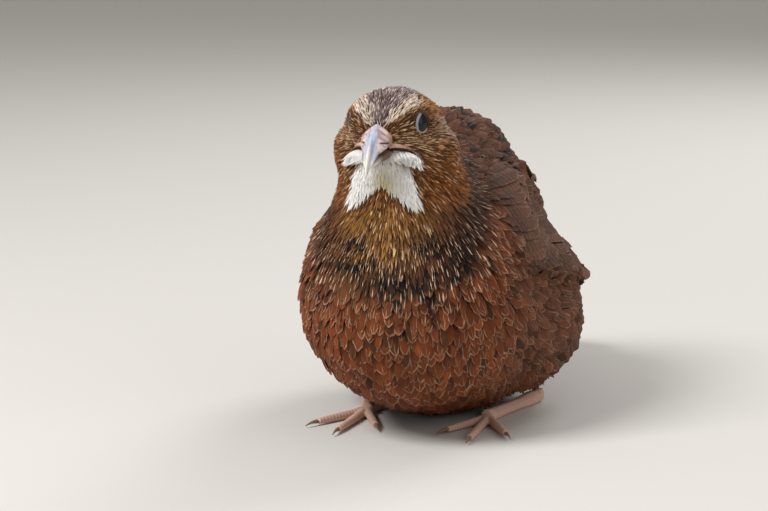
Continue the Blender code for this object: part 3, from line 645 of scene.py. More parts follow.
class Hide:
    """The skin as a surface to plant feathers on."""

    def __init__(self, mesh):
        self.points = points_of(mesh)
        self.normals = points_of(mesh, "normal")
        mesh.calc_loop_triangles()
        corners = np.empty(len(mesh.loop_triangles) * 3, np.int32)
        mesh.loop_triangles.foreach_get("vertices", corners)
        self.triangles = corners.reshape(-1, 3)
        self.tree = BVHTree.FromPolygons(self.points.tolist(), self.triangles.tolist())

    def sample(self, count, weight):
        """Random points of the surface with their normals, denser where the weight is larger."""
        a, b, c = (self.points[self.triangles[:, i]] for i in range(3))
        area = norm(np.cross(b - a, c - a), axis=1) / 2.0
        share = area * weight((a + b + c) / 3.0)
        chosen = RANDOM.choice(len(area), count, p=share / share.sum())
        u, v = RANDOM.random((2, count, 1))
        flip = (u + v) > 1.0
        u, v = np.where(flip, 1.0 - u, u), np.where(flip, 1.0 - v, v)
        corners = self.triangles[chosen]
        points, normals = (sum(w * values[corners[:, i]] for i, w in enumerate((1.0 - u - v, u, v)))
                           for values in (self.points, self.normals))
        return points, unit(normals)

    def nearest(self, points):
        """The closest point of the surface to each point, and the smooth normal there."""
        shape = points.shape
        found = np.empty((points.size // 3, 3))
        normals = np.empty_like(found)
        for i, point in enumerate(points.reshape(-1, 3)):
            hit, _, face, _ = self.tree.find_nearest(point)
            found[i] = hit
            corners = self.triangles[face]
            gap = norm(self.points[corners] - found[i], axis=1) + 1e-3
            normals[i] = (self.normals[corners] / gap[:, None]).sum(axis=0)
        return found.reshape(shape), unit(normals).reshape(shape)

    def above(self, along, turn, height):
        """Points over one side of the body: along it, degrees round from its back, and outwards."""
        along, turn, height = np.broadcast_arrays(along, np.radians(turn), height)
        starts = np.stack([np.zeros(along.shape), along, np.interp(along, *BODY_LINE)], axis=-1)
        directions = np.stack([np.sin(turn), np.zeros(along.shape), np.cos(turn)], axis=-1)
        found = np.empty(starts.shape)
        for index in np.ndindex(along.shape):
            hit = self.tree.ray_cast(starts[index], directions[index])[0]
            found[index] = hit if hit is not None else starts[index]
        _, normals = self.nearest(found)
        return found + height[..., None] * normals, normals


# Feathers


def spread_roots(hide, spacing, keep, tries):
    """Roots at least their spacing apart, in random order."""
    points, normals = hide.sample(tries, lambda p: 1.0 / spacing(p) ** 2)
    wanted = keep(points, normals)
    points, normals = points[wanted], normals[wanted]
    gaps = spacing(points)
    tree = KDTree(len(points))
    for i, point in enumerate(points):
        tree.insert(point, i)
    tree.balance()
    alive = np.ones(len(points), bool)
    chosen = []
    for i, point in enumerate(points):
        if alive[i]:
            chosen.append(i)
            for _, j, _ in tree.find_range(point, gaps[i]):
                alive[j] = False
    return points[chosen], normals[chosen]


def lie(points, normals):
    """The way the feathers point: away from the bill, round the eyes, and along the body further back."""
    reach = reach_of(points)
    away = unit(points - BILL_START)
    hanging = 0.7 * smooth(reach, 15, 27) * smooth(-normals[:, 1], 0.1, 0.8)
    away += hanging[:, None] * (-UP - away)
    back = np.array([0.0, 0.97, -0.24])
    direction = mixed(away, back, smooth(reach, 38, 95)[:, None])
    for middle, axis, _ in SEEN_EYES.values():
        out = points - middle
        outside = (out @ axis > 0.0)[:, None]
        out -= (out @ axis)[:, None] * axis
        gap = norm(out, axis=1, keepdims=True) + 1e-6
        inward = np.minimum((direction * out / gap).sum(axis=1, keepdims=True), 0.0)
        direction -= outside * np.exp(-(gap / 4.6) ** 4) * inward * out / gap
    lobe, lappet = (mask[:, None] for mask in white_bib(*folded(points)))
    side = in_head(points)[:, :1]
    direction = mixed(direction, unit(0.055 * side * HEAD_LEFT - UP), lappet)
    direction = mixed(direction, unit(0.55 * np.sign(side) * HEAD_LEFT + 0.2 * HEAD_BACK - UP), lobe)
    direction -= (direction * normals).sum(axis=1, keepdims=True) * normals
    return unit(direction)


class Plume:
    """The outline and section of one kind of feather."""

    def __init__(self, rows, outline, section, ragged=0.0):
        self.along = np.linspace(0.0, 1.0, rows)
        self.outline = np.interp(self.along, *outline)
        self.section = np.array(section)
        self.ragged = ragged


BODY_OUTLINE = ((0, 0.12, 0.35, 0.6, 0.8, 0.92, 1), (0.25, 0.5, 0.86, 1.0, 0.9, 0.62, 0.14))
LANCE_OUTLINE = ((0, 0.2, 0.5, 0.8, 1), (0.5, 0.9, 1.0, 0.6, 0.06))
FLIGHT_OUTLINE = ((0, 0.1, 0.35, 0.68, 0.84, 0.94, 1), (0.3, 0.6, 0.95, 1.0, 0.88, 0.58, 0.12))
VANE_SECTION = ((-1.0, -0.16), (0.0, 0.10), (1.0, -0.16), (0.0, -0.06))
WIDE_SECTION = ((-1.0, -0.15), (-0.55, 0.01), (-0.08, 0.08), (0.0, 0.13), (0.08, 0.08), (0.55, 0.01),
                (1.0, -0.15), (0.0, -0.05))
TUFT_SECTION = ((-1.0, 0.0), (0.0, 0.3), (1.0, 0.0))
BODY_PLUME = Plume(11, BODY_OUTLINE, VANE_SECTION, 0.22)
NECK_PLUME = Plume(7, LANCE_OUTLINE, VANE_SECTION, 0.15)
HEAD_PLUME = Plume(4, LANCE_OUTLINE, TUFT_SECTION)
FLIGHT_PLUME = Plume(22, FLIGHT_OUTLINE, WIDE_SECTION, 0.05)


def unwrap(points):
    """Round and along an axis of the body, each from 0 to 1."""
    axis = unit(np.array(BAKE_AXIS))
    side = unit(np.cross(axis, UP))
    up = np.cross(side, axis)
    local = points - BAKE_START
    round_axis = np.arctan2(local @ side, local @ up) / (2.0 * math.pi) + 0.5
    along = local @ axis
    along = (along - along.min()) / max(np.ptp(along), 1e-6)
    return np.stack([0.02 + 0.96 * round_axis, 0.02 + 0.96 * along], axis=1)


def feather_looks(look):
    """Each feather's own tint and marks, varied round those of its place."""
    count = len(look["tint"])
    pick = RANDOM.random(count)
    tint = layered(look["tint"], ((pick < look["dark"]) * 0.85, UMBER),
                   ((pick > 1.0 - look["cream"]) * 0.9, look["pale"]))
    calm = look["bib"]  # the bib is the least varied
    vary = RANDOM.uniform(-0.2, 0.2, count) * (1.0 - 0.75 * calm)
    tint = np.clip(tint * (1.0 + vary)[:, None], 0.0, 1.0)
    seed = RANDOM.random(count) * (1.0 - 0.8 * calm) + 0.4 * calm
    streak = look["streak"] * RANDOM.uniform(0.6, 1.2, count) * (RANDOM.random(count) < 0.55)
    rim = look["rim"] * RANDOM.uniform(0.4, 1.2, count)
    blotch = np.clip(look["blotch"] * RANDOM.uniform(0.5, 1.7, count), 0.0, 1.0)
    # The tint's alpha carries the share of painted shade towards the feather's root.
    return {"tint": np.column_stack([tint, look["gap_shade_share"]]),
            "marks": np.stack([rim, streak, look["bars"]], axis=1),
            "more": np.stack([blotch, seed, look["pale_bars"], look["length"] / 10.0], axis=1)}


def grow(name, plume, paths, normals, widths, rolls, look, slot):
    """One mesh of many feathers, each lofted along its path."""
    count, rows = paths.shape[:2]
    ahead = unit(np.gradient(paths, axis=1))
    across = unit(np.cross(normals, ahead))
    up = np.cross(ahead, across)
    roll = np.radians(rolls)[:, None, None]
    across, up = across * np.cos(roll) + up * np.sin(roll), up * np.cos(roll) - across * np.sin(roll)
    half = widths[:, None] / 2.0 * plume.outline
    section = len(plume.section)
    points = np.empty((count, rows, section, 3))
    uv = np.empty((count, rows, section, 2))
    for k, (x, z) in enumerate(plume.section):
        ragged = 1.0 - plume.ragged * abs(x) * RANDOM.random((count, rows)) * smooth(plume.along, 0.3, 0.7)
        points[:, :, k] = paths + (x * half * ragged)[..., None] * across + (z * half)[..., None] * up
        uv[:, :, k, 0] = 0.5 + x / 2.0
        uv[:, :, k, 1] = plume.along
    faces = loft(count, rows, section)
    corners = np.concatenate([part.ravel() for part in faces]).astype(np.int32)
    sizes = np.repeat((4, section), (len(faces[0]), 2 * count))
    mesh = bpy.data.meshes.new(name)
    mesh.vertices.add(points.size // 3)
    mesh.vertices.foreach_set("co", flat(points * MM))
    mesh.loops.add(len(corners))
    mesh.loops.foreach_set("vertex_index", corners)
    mesh.polygons.add(len(sizes))
    mesh.polygons.foreach_set("loop_start", (np.cumsum(sizes) - sizes).astype(np.int32))
    mesh.update(calc_edges=True)
    mesh.validate()
    mesh.shade_smooth()
    mesh.set_sharp_from_angle(angle=math.radians(60))
    each = rows * section
    for key, values in feather_looks(look).items():
        write_attribute(mesh, key, np.repeat(values, each, axis=0))
    uv = uv.reshape(-1, 2)
    patches = np.repeat(unwrap(paths[:, 0]), each, axis=0) + BAKE_PATCH * (uv - 0.5)
    for key, values in (("Feather", uv), ("OFBake", patches)):
        layer = mesh.uv_layers.new(name=key)
        layer.data.foreach_set("uv", flat(values[corners]))
    mesh.uv_layers.active = layer
    layer.active_render = True
    add_piece(name, mesh, FEATHERS, slot)


def plant(hide, name, keep, plume, slot, tries, lift, loose, fine):
    """A tract of feathers on the skin where keep says so. Loose ones hang away from the skin."""
    def spacing(points):
        return fine * np.interp(reach_of(points), REACH, SPACINGS)

    points, normals = spread_roots(hide, spacing, keep, tries)
    count = len(points)
    reach = reach_of(points)
    look = markings(points, normals)
    look["length"] = np.interp(reach, REACH, LENGTHS)
    hang = np.interp(-folded(points)[2], *LAPPET_LENGTHS) * look["lappet"]
    length = np.maximum(look["length"], hang) * RANDOM.uniform(0.8, 1.2, count)
    length *= (1.0 - 0.35 * look["lobe"]) * np.interp(eye_gap(points), (1.0, 2.4), (0.45, 1.0))
    width = fine * np.interp(reach, REACH, WIDTHS) * RANDOM.uniform(0.8, 1.2, count) * (1.0 + look["bib"])
    direction = unit(lie(points, normals) + RANDOM.normal(0.0, 0.10, (count, 3)))
    if loose:
        direction = unit(mixed(direction, 0.35 * normals - UP, loose))
    steps = plume.along[None, :, None]
    straight = points[:, None] + (steps * length[:, None, None]) * direction[:, None]
    surface, surface_normals = hide.nearest(straight)
    depth = coat_depth(points) * lift * RANDOM.uniform(0.75, 1.3, count)
    depth += 1.7 * look["lobe"] + 0.5 * look["lappet"]
    rise = -ROOT_SINK + (depth[:, None] + ROOT_SINK) * plume.along ** 0.75
    paths = mixed(surface, straight, loose * steps) + rise[..., None] * surface_normals
    paths[..., 2] = np.maximum(paths[..., 2], COAT_FLOOR)
    ahead = (unit(np.diff(paths, axis=1)) * direction[:, None]).sum(axis=2).min(axis=1)
    fall = norm(straight - surface, axis=2).max(axis=1)
    good = (ahead > 0.3) & (fall < 0.5 * length)
    look = {key: values[good] for key, values in look.items()}
    rolls = RANDOM.normal(0.0, 8.0, good.sum())
    grow(name, plume, paths[good], surface_normals[good], width[good], rolls, look, slot)


# Wings and tail

# Tiers of the wing: primaries, secondaries, and greater, median and lesser coverts. Each has its count,
# root and tip along the body, root and tip in degrees round from the back, height of root and tip over
# the skin, and width.
WING_TIERS = (
    (8, (20, 27), (50, 60), (94, 79), (86, 64), (0.2, 1.2), 6.0),
    (14, (-4, 4), (35, 47, 58, 56, 46), (99, 40), (96, 33), (0.5, 1.6), 7.6),
    (15, (-14, -10), (12, 20, 19), (99, 40), (99, 36), (0.6, 2.0), 5.8),
    (15, (-23, -19), (0, 6, 5), (97, 44), (98, 40), (0.6, 2.2), 5.6),
    (14, (-29, -27), (-10, -5, -6), (95, 48), (96, 44), (0.3, 2.3), 5.4),
)
TIP_START = 44.0  # where the long feathers leave the body's surface, along it
TIP_TUCK = 0.02  # how they draw in towards the middle from there
WING_ROLL = 13.0  # degrees by which each feather's upper edge lies under its neighbour


def knots(values, count):
    """The values spread evenly over the count."""
    return np.interp(np.linspace(0.0, 1.0, count), np.linspace(0.0, 1.0, len(values)), values)


def grow_vanes(name, vanes, rolls, pale_bars):
    """The feathers of a wing or the tail, each given as its path, normals and width."""
    paths, normals, widths = (np.array(values) for values in zip(*vanes))
    # The vanes' marks, among them the share of painted shade towards their roots.
    look = {key: np.full(len(paths), value) for key, value in (
        ("rim", 0.22), ("streak", 0.20), ("bars", 0.18), ("blotch", 0.08), ("dark", 0.2), ("cream", 0.0),
        ("gap_shade_share", 0.45), ("bib", 0.0), ("pale_bars", pale_bars))}
    look["tint"] = look["pale"] = all_of(BACK_BROWN, len(paths))
    look["length"] = norm(paths[:, -1] - paths[:, 0], axis=1)
    grow(name, FLIGHT_PLUME, paths, normals, widths, rolls, look, "plumage_back")


def wing(hide, side):
    """The folded wing's flight feathers and coverts, in overlapping tiers."""
    vanes = []
    steps = FLIGHT_PLUME.along
    for count, *spans, heights, width in WING_TIERS:
        for i in range(count):
            ends = [knots(values, count)[i] + RANDOM.normal(0.0, 0.6) for values in spans]
            height = ramp(*heights, steps ** 0.7) + 0.35 * i / count + RANDOM.normal(0.0, 0.2)
            path, normal = hide.above(ramp(*ends[:2], steps), side * ramp(*ends[2:], steps), height)
            if ends[1] > TIP_START:
                free = path[:, 1] > TIP_START
                last = len(free) - free.sum() - 1
                slope = (path[last] - path[last - 4]) / (steps[last] - steps[last - 4])
                path[free] = path[last] + (steps[free] - steps[last])[:, None] * slope
                path[free, 0] -= side * TIP_TUCK * (path[free, 1] - path[last, 1]) ** 2
                normal[free] = normal[last]
            vanes.append((path, normal, width * RANDOM.uniform(0.9, 1.1)))
    rolls = -side * (WING_ROLL + RANDOM.normal(0.0, 3.0, len(vanes)))
    grow_vanes(f"wing_feathers_{SIDE_NAMES[side]}", vanes, rolls, 0.10)


TAIL_ROOT = (0.0, 62.0, 30.9)
TAIL_DROOP = 26.0
# Tiers of one side of the tail: its feathers, then two tiers of coverts over and two under them. Each
# has its count, root and tip outwards, start and end along the tail, height over its middle at root and
# tip, drop to the outside, and width.
TAIL_TIERS = (
    (6, (1.6, 7.5), (2.6, 17.0), (-2, -2), (33.5, 28.0), (0.7, 0.5), 0.8, 6.8),
    (6, (0.8, 7.5), (1.2, 12.0), (-4, -2), (24.0, 18.0), (2.7, 2.2), 1.3, 6.4),
    (5, (0.6, 6.8), (0.8, 9.5), (-12, -9), (14.0, 10.0), (3.6, 3.6), 2.2, 6.4),
    (5, (0.8, 7.0), (1.2, 10.0), (-4, -2), (22.0, 16.0), (-3.4, -2.0), -1.0, 6.4),
    (5, (0.8, 7.0), (0.8, 9.0), (-12, -10), (12.0, 8.0), (-5.6, -4.0), -1.6, 6.4),
)


def tail():
    """The tail's feathers and their coverts, in tiers over and under it."""
    droop = math.radians(TAIL_DROOP)
    back = np.array([0.0, math.cos(droop), -math.sin(droop)])
    up = np.array([0.0, math.sin(droop), math.cos(droop)])
    steps = FLIGHT_PLUME.along[:, None]
    vanes, rolls = [], []
    for count, *spans, rise, drop, width in TAIL_TIERS:
        face = 1.0 if rise[0] > 0 else -1.0
        ends = [knots(values, count) for values in spans]
        for side in (LEFT, RIGHT):
            for i in range(count):
                out, far, near_end, far_end = (values[i] for values in ends)
                share = i / (count - 1.0)
                height = ramp(*rise, steps) - drop * share ** 2
                path = np.array(TAIL_ROOT) + ramp(near_end, far_end, steps) * back + height * up
                path = path + ramp(out, far, steps) * np.array([side, 0.0, 0.0])
                normals = np.broadcast_to(face * up, path.shape)
                vanes.append((path + RANDOM.normal(0.0, 0.15, 3), normals, width))
                rolls.append(side * (3.0 + 10.0 * share) * face)
    grow_vanes("tail_feathers", vanes, rolls, 0.3)


# Eyes, lids and mouth

LID_OFFSETS = (-0.10, 0.0, 0.08, 0.18, 0.30, 0.42, 0.56, 0.75, 1.0, 1.3, 1.7)
LID_RADII = (4.20, 4.34, 4.46, 4.52, 4.46, 4.52, 4.44, 4.48, 4.44, 4.42, 4.40)
EYE_STEPS = 64
PUPIL_EDGE = (25, 27)
PUPIL_BLACK = (0.002, 0.002, 0.002)
IRIS_BROWN = (0.022, 0.009, 0.005)
LID_GREY = (0.25, 0.26, 0.30)
LID_PALE = (0.42, 0.35, 0.29)
# The lids' own dark brown, deepened by painted shade so that the outer rings read as feathers in shade
# round the eye.
LID_BROWN_AND_SHADE = (0.050, 0.026, 0.016)


def shell(name, rings, tints, finish, slot, capped, *replaced):
    """A mesh through rings of points, in millimetres, with a tint at each point."""
    rings = np.asarray(rings, float)
    rows, count = rings.shape[:2]
    quads, first, last = (faces.tolist() for faces in loft(1, rows, count))
    points = rings.reshape(-1, 3)
    mesh = bpy.data.meshes.new(name)
    mesh.from_pydata(points.tolist(), [], quads + first + last if capped else quads)
    made = opened(mesh)
    bmesh.ops.recalc_face_normals(made, faces=made.faces)
    closed(made, mesh)
    place(name, mesh, points, np.asarray(tints).reshape(-1, 3), finish, slot, *replaced)


def eye(side):
    """The eyeball, and the lids round its opening."""
    name = SIDE_NAMES[side]
    middle, axis, ahead = SEEN_EYES[side]
    turns = np.linspace(0.0, 2.0 * math.pi, EYE_STEPS, endpoint=False)[:, None]
    cos, sin = np.cos(turns), np.sin(turns)
    round_axis = cos * ahead + sin * UP
    angles = np.radians(np.linspace(1.0, 179.0, 48))
    rings = [middle + EYE_RADIUS * (math.cos(t) * axis + math.sin(t) * round_axis) for t in angles]
    pupil = smooth(np.degrees(angles), *PUPIL_EDGE)[:, None]
    tints = np.repeat(mixed(PUPIL_BLACK, IRIS_BROWN, pupil)[:, None], EYE_STEPS, axis=1)
    shell(f"eyeball_{name}", rings, tints, GLOSSY, "eye", True, f"eye_{name}")

    rings, tints = [], []
    front = smooth(cos, 0.0, 0.6)
    low = smooth(-sin, 0.4, 0.85)
    inner = mixed(mixed(LID_BROWN_AND_SHADE, LID_GREY, front), LID_PALE, low)
    narrow = 1.0 - 0.45 * np.maximum(sin, 0.0) ** 2 + 0.12 * low
    for offset, radius in zip(LID_OFFSETS, LID_RADII):
        across = (LID_OPENING[0] * narrow + offset) * cos * ahead + (LID_OPENING[1] + offset) * sin * UP
        size = norm(across, axis=1, keepdims=True)
        depth = np.sqrt(np.maximum(radius ** 2 - size ** 2, 0.3))
        rings.append(middle + across + depth * axis)
        # Outwards the lids turn to their brown deepened by painted shade.
        tints.append(mixed(inner, LID_BROWN_AND_SHADE, smooth(offset - 0.35 * np.maximum(front, low), 0.12, 0.4)))
    shell(f"lids_{name}", rings, tints, BARE, "plumage_head", False)


def tube(name, path, radii, tint):
    """A rounded strip of bare skin along a path."""
    path = np.asarray(path, float)
    ahead = unit(np.gradient(path, axis=0))
    side = unit(np.cross(ahead, UP))
    up = np.cross(side, ahead)
    turns = np.linspace(0.0, 2.0 * math.pi, TUBE_STEPS, endpoint=False)
    rings = [p + r * (np.cos(turns)[:, None] * s + np.sin(turns)[:, None] * u)
             for p, r, s, u in zip(path, radii, side, up)]
    shell(name, rings, np.broadcast_to(tint, (len(path), TUBE_STEPS, 3)), BARE, "plumage_head", True)


# The line of the mouth from the bill back: outwards, backwards and up from the eyes.
GAPE = ((3.0, -10.6, -5.4), (4.4, -8.6, -5.05), (5.5, -6.9, -5.1), (6.6, -5.8, -5.35), (8.2, -5.1, -6.2),
        (9.6, -4.3, -7.8))
GAPE_CLEARANCE = ((3, 6, 9), (1.4, 1.0, 0.3))
TUBE_STEPS = 12
# Near-black painted shade in the slit of the mouth.
GAPE_SHADE = (0.028, 0.014, 0.010)
GAPE_FLESH = (0.55, 0.34, 0.25)


def gape(hide, side):
    """A dark tube along the mouth, painted shade in its slit, and the fleshy edge above it."""
    name = SIDE_NAMES[side]
    knot_steps = np.linspace(0.0, 1.0, len(GAPE))
    steps = np.linspace(0.0, 1.0, 24)
    line = np.stack([np.interp(steps, knot_steps, values) for values in np.array(GAPE).T], axis=1)
    line = from_head(line * np.array([side, 1.0, 1.0]))
    surface, normals = hide.nearest(line)
    fade = np.interp(steps, (0, 0.15, 0.7, 1), (0.6, 1.0, 0.8, 0.25))
    # A near-black tube along the mouth: painted shade in its slit.
    tube(f"mouth_shade_line_{name}", surface + 0.35 * normals, 0.29 * fade, GAPE_SHADE)
    edge = np.interp(steps, (0, 0.12, 0.35, 0.65, 0.85, 1), (0.45, 0.7, 0.6, 0.3, 0.08, 0.03))
    sink = np.interp(steps, (0, 0.6, 0.85, 1), (-0.2, -0.2, 0.6, 1.0))
    raised = surface - sink[:, None] * normals + (0.35 + edge)[:, None] * UP
    tube(f"mouth_edge_{name}", raised, edge, GAPE_FLESH)


# Bill

BILL_GREY = (0.42, 0.44, 0.54)
BILL_CREAM = (0.72, 0.68, 0.60)
FLAP_PINK = (0.62, 0.49, 0.49)
FLAP_SHADE = (0.34, 0.235, 0.245)
# Painted shade where the bill's root meets the feathers.
BILL_ROOT_SHADE = (0.34, 0.20, 0.13)
HORN_OLIVE = (0.26, 0.19, 0.12)
# The lower bill's dark brown is painted shade under the upper bill.
LOWER_BILL_SHADE = (0.13, 0.085, 0.055)
BILL_FRONT = 8.9  # from the eyes forward to the bill's root
BILL_LENGTH = 8.6
BILL_TOP = ((0, 2, 4, 6, 7.5, 8.6), (1.6, 1.0, -0.4, -2.6, -5.0, -7.4))  # its height along the bill
RIDGE_WIDTH = ((0.0, 2.0, 4.0, 5.8), (0.06, 0.3, 0.9, 1.9))
BILL_DROOP, BILL_SHORT = 0.24, 0.14  # how far the seen bill hangs down and draws in, of its length


def bill(node):
    """One half of the bill, with the soft flaps over the nostrils on the upper one."""
    mesh = remeshed(cad_copy((node,), 0.0), 0.17, 3)
    upper = node == "bill_upper"
    head = in_head(points_of(mesh))
    forward = -head[:, 1] - BILL_FRONT
    side, c = head[:, 0], head[:, 2]  # these follow what is done to head
    edge = -4.4 - 3.1 * np.clip(forward / BILL_LENGTH, 0, 1) ** 2.4
    height = (c - edge) / np.maximum(np.interp(forward, *BILL_TOP) - edge, 0.4)
    if upper:
        flap = bump_at((np.abs(side), forward, c), (2.9, 2.0, -1.2), (1.3, 2.0, 1.7))
        pinch = smooth(height, 0.35, 0.95) * smooth(forward, -0.3, 1.5) * 0.42
        pinch = pinch + 0.32 * smooth(forward, 2.5, 5.5)
        head[:, 0] = side * (1.0 - pinch * (1.0 - 0.7 * flap))
        head[:, 2] -= (0.4 + 0.34 * np.abs(side)) * smooth(height, 0.3, 1.0) * smooth(forward, 5.0, 1.0)
    ahead = np.maximum(forward, 0.0)
    head[:, 1] += BILL_SHORT * ahead
    head[:, 2] -= BILL_DROOP * ahead
    if upper:
        a = np.abs(side)
        is_flap = smooth(a - np.interp(forward, *RIDGE_WIDTH), 0.0, 0.45) * smooth(forward, 7.0, 5.6)
        mottled = np.sin(side * 2.3 + c * 1.7) + np.sin(forward * 2.9 - c * 2.1)
        mottled = smooth(mottled + np.sin(c * 5.3 + side * 3.1), -0.6, 1.4)
        tint = layered(
            all_of(BILL_GREY, len(head)), (is_flap, FLAP_PINK), (is_flap * mottled * 0.9, FLAP_SHADE),
            (smooth(height, 0.3, 0.05) * smooth(forward, 5.0, 3.0), HORN_OLIVE),
            (smooth(forward, 6.2, 8.4) * 0.9, BILL_CREAM),
            # Painted shade at the bill's root and along the flaps' outer edge near it, where they meet the
            # feathers.
            (smooth(forward, 0.9, -0.1) * smooth(a, 0.3, 0.9), BILL_ROOT_SHADE),
            (is_flap * smooth(a, 2.5, 3.3) * smooth(forward, 3.0, 1.0), BILL_ROOT_SHADE))
    else:
        # The lower bill lies under the upper one: painted dark brown shade, with its pale tip.
        tint = layered(all_of(LOWER_BILL_SHADE, len(head)), (smooth(forward, 3.5, 7.0), BILL_CREAM))
    place(f"{node}_horn", mesh, from_head(head), tint, HORN, "horn", node)


# Feet

FOOT_OUT, TOE_ROOT = 16.5, -11.0
HEEL = (23.5, 17.0)
TOES = ((-24.0, 17.0), (2.0, 23.0), (28.0, 18.0), (196.0, 8.0))  # degrees outwards, and length
SCUTE = 1.15  # length of a scute
FOOT_PINK = (0.62, 0.40, 0.32)
FOOT_SHADE = (0.30, 0.15, 0.11)
CLAW_BROWN = (0.20, 0.13, 0.085)


def foot(side):
    """The foot with its scutes, and the claws."""
    name = SIDE_NAMES[side]
    mesh = remeshed(cad_copy((f"foot_{name}",), 0.0), 0.28, 3)
    points, normals = points_of(mesh), points_of(mesh, "normal")
    root = np.array([FOOT_OUT, TOE_ROOT])
    out = points[:, :2] * np.array([side, 1.0]) - root
    lines = [(np.array([math.sin(math.radians(turn)), -math.cos(math.radians(turn))]), length)
             for turn, length in TOES]
    heel = np.array(HEEL) - root
    lines.append((unit(heel), norm(heel)))
    best, along = np.full(len(points), 1e9), np.zeros(len(points))
    for direction, length in lines:
        step = np.clip(out @ direction, 0.0, length)
        gap = norm(out - step[:, None] * direction, axis=1)
        along = np.where(gap < best, step, along)
        best = np.minimum(gap, best)
    groove = 1.0 - np.abs(np.sin(math.pi * along / SCUTE)) ** 0.5
    topside = smooth(normals[:, 2], -0.5, 0.2) * smooth(along, 0.5, 2.0)
    points += (0.05 - 0.22 * groove * topside)[:, None] * normals
    tint = layered(all_of(FOOT_PINK, len(points)), (groove * topside * 0.8, FOOT_SHADE))
    place(f"foot_skin_{name}", mesh, points, tint, BARE, "skin_pale", f"foot_{name}")

    nodes = [f"claw_{name}_{i}" for i in range(1, 5)]
    mesh = remeshed(cad_copy(nodes, 0.0), 0.13, 2)
    points = points_of(mesh)
    place(f"claws_{name}", mesh, points, all_of(CLAW_BROWN, len(points)), HORN, "claw", *nodes)


# Tracts of the coat. Head and neck end at these distances from the bill, face and breast at these places
# backwards, and the belly at this height.
HEAD_END, NECK_END = 25, 33
FACE_END, BREAST_END, BELLY_TOP = -1.0, -10, 40
SOLIDS = [BVHTree.FromBMesh(cad_copy(names, 0.0)) for names in (WINGS, FLESH)]


def clear(points):
    """Clear of the bill, the eyes and the line of the mouth."""
    a, b, c = folded(points)
    in_bill = (a < 3.1) & (c > -6.6) & (c < 0.5) & (b < -8.4)
    over = c - np.interp(a, *np.array(GAPE).T[[0, 2]])
    on_gape = (a > 2.8) & (a < 9.4) & (b < 0.5) & (over > -0.2) & (over < np.interp(a, *GAPE_CLEARANCE))
    return ~in_bill & ~on_gape & (eye_gap(points) > 1.0)


def under_wing(points):
    """Where the wing's own feathers lie: the skin over the wings, but for their upper edge."""
    x, y, z = points.T
    turn = np.degrees(np.arctan2(np.abs(x), z - np.interp(y, *BODY_LINE)))
    to_wing, to_body = (np.array([tree.find_nearest(point)[3] for point in points]) for tree in SOLIDS)
    on_wing = (to_wing < to_body) & ((turn > 52) | (y > 40)) & (turn < 97)
    return (y > -17) & (on_wing | ((turn > 52) & (turn < 94) & (y < 50)))


def behind(points, normals):
    """Back and belly, but for steps in the skin that face back, where feathers would stand on end."""
    x, y, z = points.T
    is_flat = (normals[:, 1] < 0.74) | (y > 60.0) | (z < 22.0) | (np.abs(x) < 13.0)
    return (reach_of(points) >= NECK_END) & (y >= BREAST_END) & is_flat & ~under_wing(points)


def on_face(points, normals):
    return (reach_of(points) < HEAD_END) & (in_head(points)[:, 1] < FACE_END) & clear(points)


def on_nape(points, normals):
    return (reach_of(points) < HEAD_END) & (in_head(points)[:, 1] >= FACE_END) & clear(points)


def on_neck(points, normals):
    return (reach_of(points) >= HEAD_END) & (reach_of(points) < NECK_END)


def on_breast(points, normals):
    return (reach_of(points) >= NECK_END) & (points[:, 1] < BREAST_END) & ~under_wing(points)


def on_back(points, normals):
    return (points[:, 2] > BELLY_TOP) & behind(points, normals)


def on_belly(points, normals):
    """The belly without the fold of the skin under each wing."""
    x, _, z = points.T
    fold = (z > 26.0) & (np.abs(x) > 24.0) & (normals[:, 0] * np.sign(x) < 0.62)
    return (z <= BELLY_TOP) & ~fold & behind(points, normals)


def on_skirt(points, normals):
    x, y, z = points.T
    return (z > 3.0) & (z < 12.0) & (np.abs(x) > 13.0) & (y > -16.0) & (y < 34.0) & (normals[:, 2] < 0.1)


# Name, place, plume, slot, tries, lift, looseness, and how fine the feathers are.
TRACTS = (
    ("coat_face", on_face, HEAD_PLUME, "plumage_head", 500000, 1.0, 0.0, 0.84),
    ("coat_nape", on_nape, HEAD_PLUME, "plumage_head", 500000, 1.0, 0.0, 0.84),
    ("coat_neck", on_neck, NECK_PLUME, "plumage_throat", 120000, 1.0, 0.0, 0.8),
    ("coat_breast", on_breast, BODY_PLUME, "plumage_russet", 90000, 1.0, 0.0, 0.84),
    ("coat_back", on_back, BODY_PLUME, "plumage_back", 90000, 1.3, 0.0, 0.74),
    ("coat_belly", on_belly, BODY_PLUME, "plumage_russet", 90000, 1.2, 0.0, 0.86),
    ("coat_skirt", on_skirt, NECK_PLUME, "plumage_russet", 120000, 1.0, 0.22, 0.28),
)


# Build

FEATHERS = feather_material()
GLOSSY = tinted_material("eye_gloss", 0.04, 300.0, 0.0, specular_ior_level=0.35)
BARE = tinted_material("bare_skin", 0.65, 2500.0, 0.35, specular_ior_level=0.12)
HORN = tinted_material("horn", 0.48, 1500.0, 0.3, specular_ior_level=0.35)


def main():
    skin = make_skin()
    hide = Hide(skin)
    tint = markings(hide.points, hide.normals)["tint"]
    place("skin", skin, hide.points, tint, skin_material(), "plumage_russet", *FLESH, *WINGS)
    for tract in TRACTS:
        plant(hide, *tract)
    for side in (LEFT, RIGHT):
        wing(hide, side)
        eye(side)
        gape(hide, side)
        foot(side)
    tail()
    bill("bill_upper")
    bill("bill_lower")


# Studio


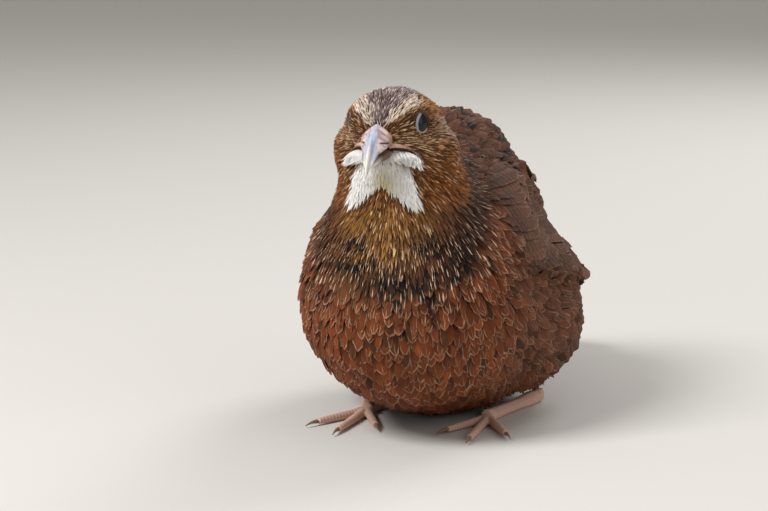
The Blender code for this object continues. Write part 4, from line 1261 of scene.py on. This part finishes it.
VIEW_TURN, VIEW_LIFT = 16.0, 9.0
VIEW_DISTANCE = 600.0
PHOTO_WIDTH, PHOTO_HEIGHT = 768, 511
PIXELS_PER_MM = 4.1  # at the head
HEAD_PIXEL = (390.0, 125.0)
SENSOR = 36.0
FLOOR_GREY = (0.62, 0.60, 0.57, 1.0)
SKY, SKY_STRENGTH = (1.0, 0.96, 0.92, 1.0), 0.42
# Each lamp's place in metres, size and power.
LAMPS = {
    "key": ((-0.48, -0.66, 0.80), 0.4, 12.0),
    "fill": ((0.8, -0.5, 0.35), 0.8, 1.8),
    "rim": ((0.3, 0.8, 0.7), 0.5, 5.0),
}


def aimed(name, data, at, ahead):
    """A camera or lamp in its place, turned to look ahead."""
    obj = added(name, data)
    obj.location = at
    obj.rotation_euler = ahead.to_track_quat("-Z", "Y").to_euler()
    return obj


def studio():
    """The photo's camera, a floor, and soft light."""
    scene = bpy.context.scene
    turn, rise = math.radians(VIEW_TURN), math.radians(VIEW_LIFT)
    back = Vector((math.sin(turn) * math.cos(rise), -math.cos(turn) * math.cos(rise), math.sin(rise)))
    right = Vector((math.cos(turn), math.sin(turn), 0.0))
    up = back.cross(right)
    aside = (PHOTO_WIDTH / 2 - HEAD_PIXEL[0]) / PIXELS_PER_MM
    below = (PHOTO_HEIGHT / 2 - HEAD_PIXEL[1]) / PIXELS_PER_MM
    aim = (Vector(HEAD_MIDDLE) + right * aside - up * below) * MM
    camera = bpy.data.cameras.new("camera")
    camera.sensor_width = SENSOR
    camera.lens = PIXELS_PER_MM * VIEW_DISTANCE / PHOTO_WIDTH * SENSOR
    camera.clip_start = 0.01
    scene.camera = aimed("camera", camera, aim + back * VIEW_DISTANCE * MM, -back)

    made = bmesh.new()
    bmesh.ops.create_grid(made, x_segments=1, y_segments=1, size=3.0)
    mesh = closed(made, bpy.data.meshes.new("floor"))
    mesh.materials.append(Shader("floor", roughness=0.85, base_color=FLOOR_GREY).material)
    floor = added("floor", mesh)

    scene.world = bpy.data.worlds.new("studio")
    scene.world.use_nodes = True
    sky = scene.world.node_tree.nodes["Background"].inputs
    sky["Color"].default_value = SKY
    sky["Strength"].default_value = SKY_STRENGTH
    scene.view_settings.view_transform = "Standard"
    for name, (at, size, power) in LAMPS.items():
        light = bpy.data.lights.new(name, "AREA")
        light.size = size
        light.energy = power
        aimed(name, light, at, -Vector(at))


main()
studio()
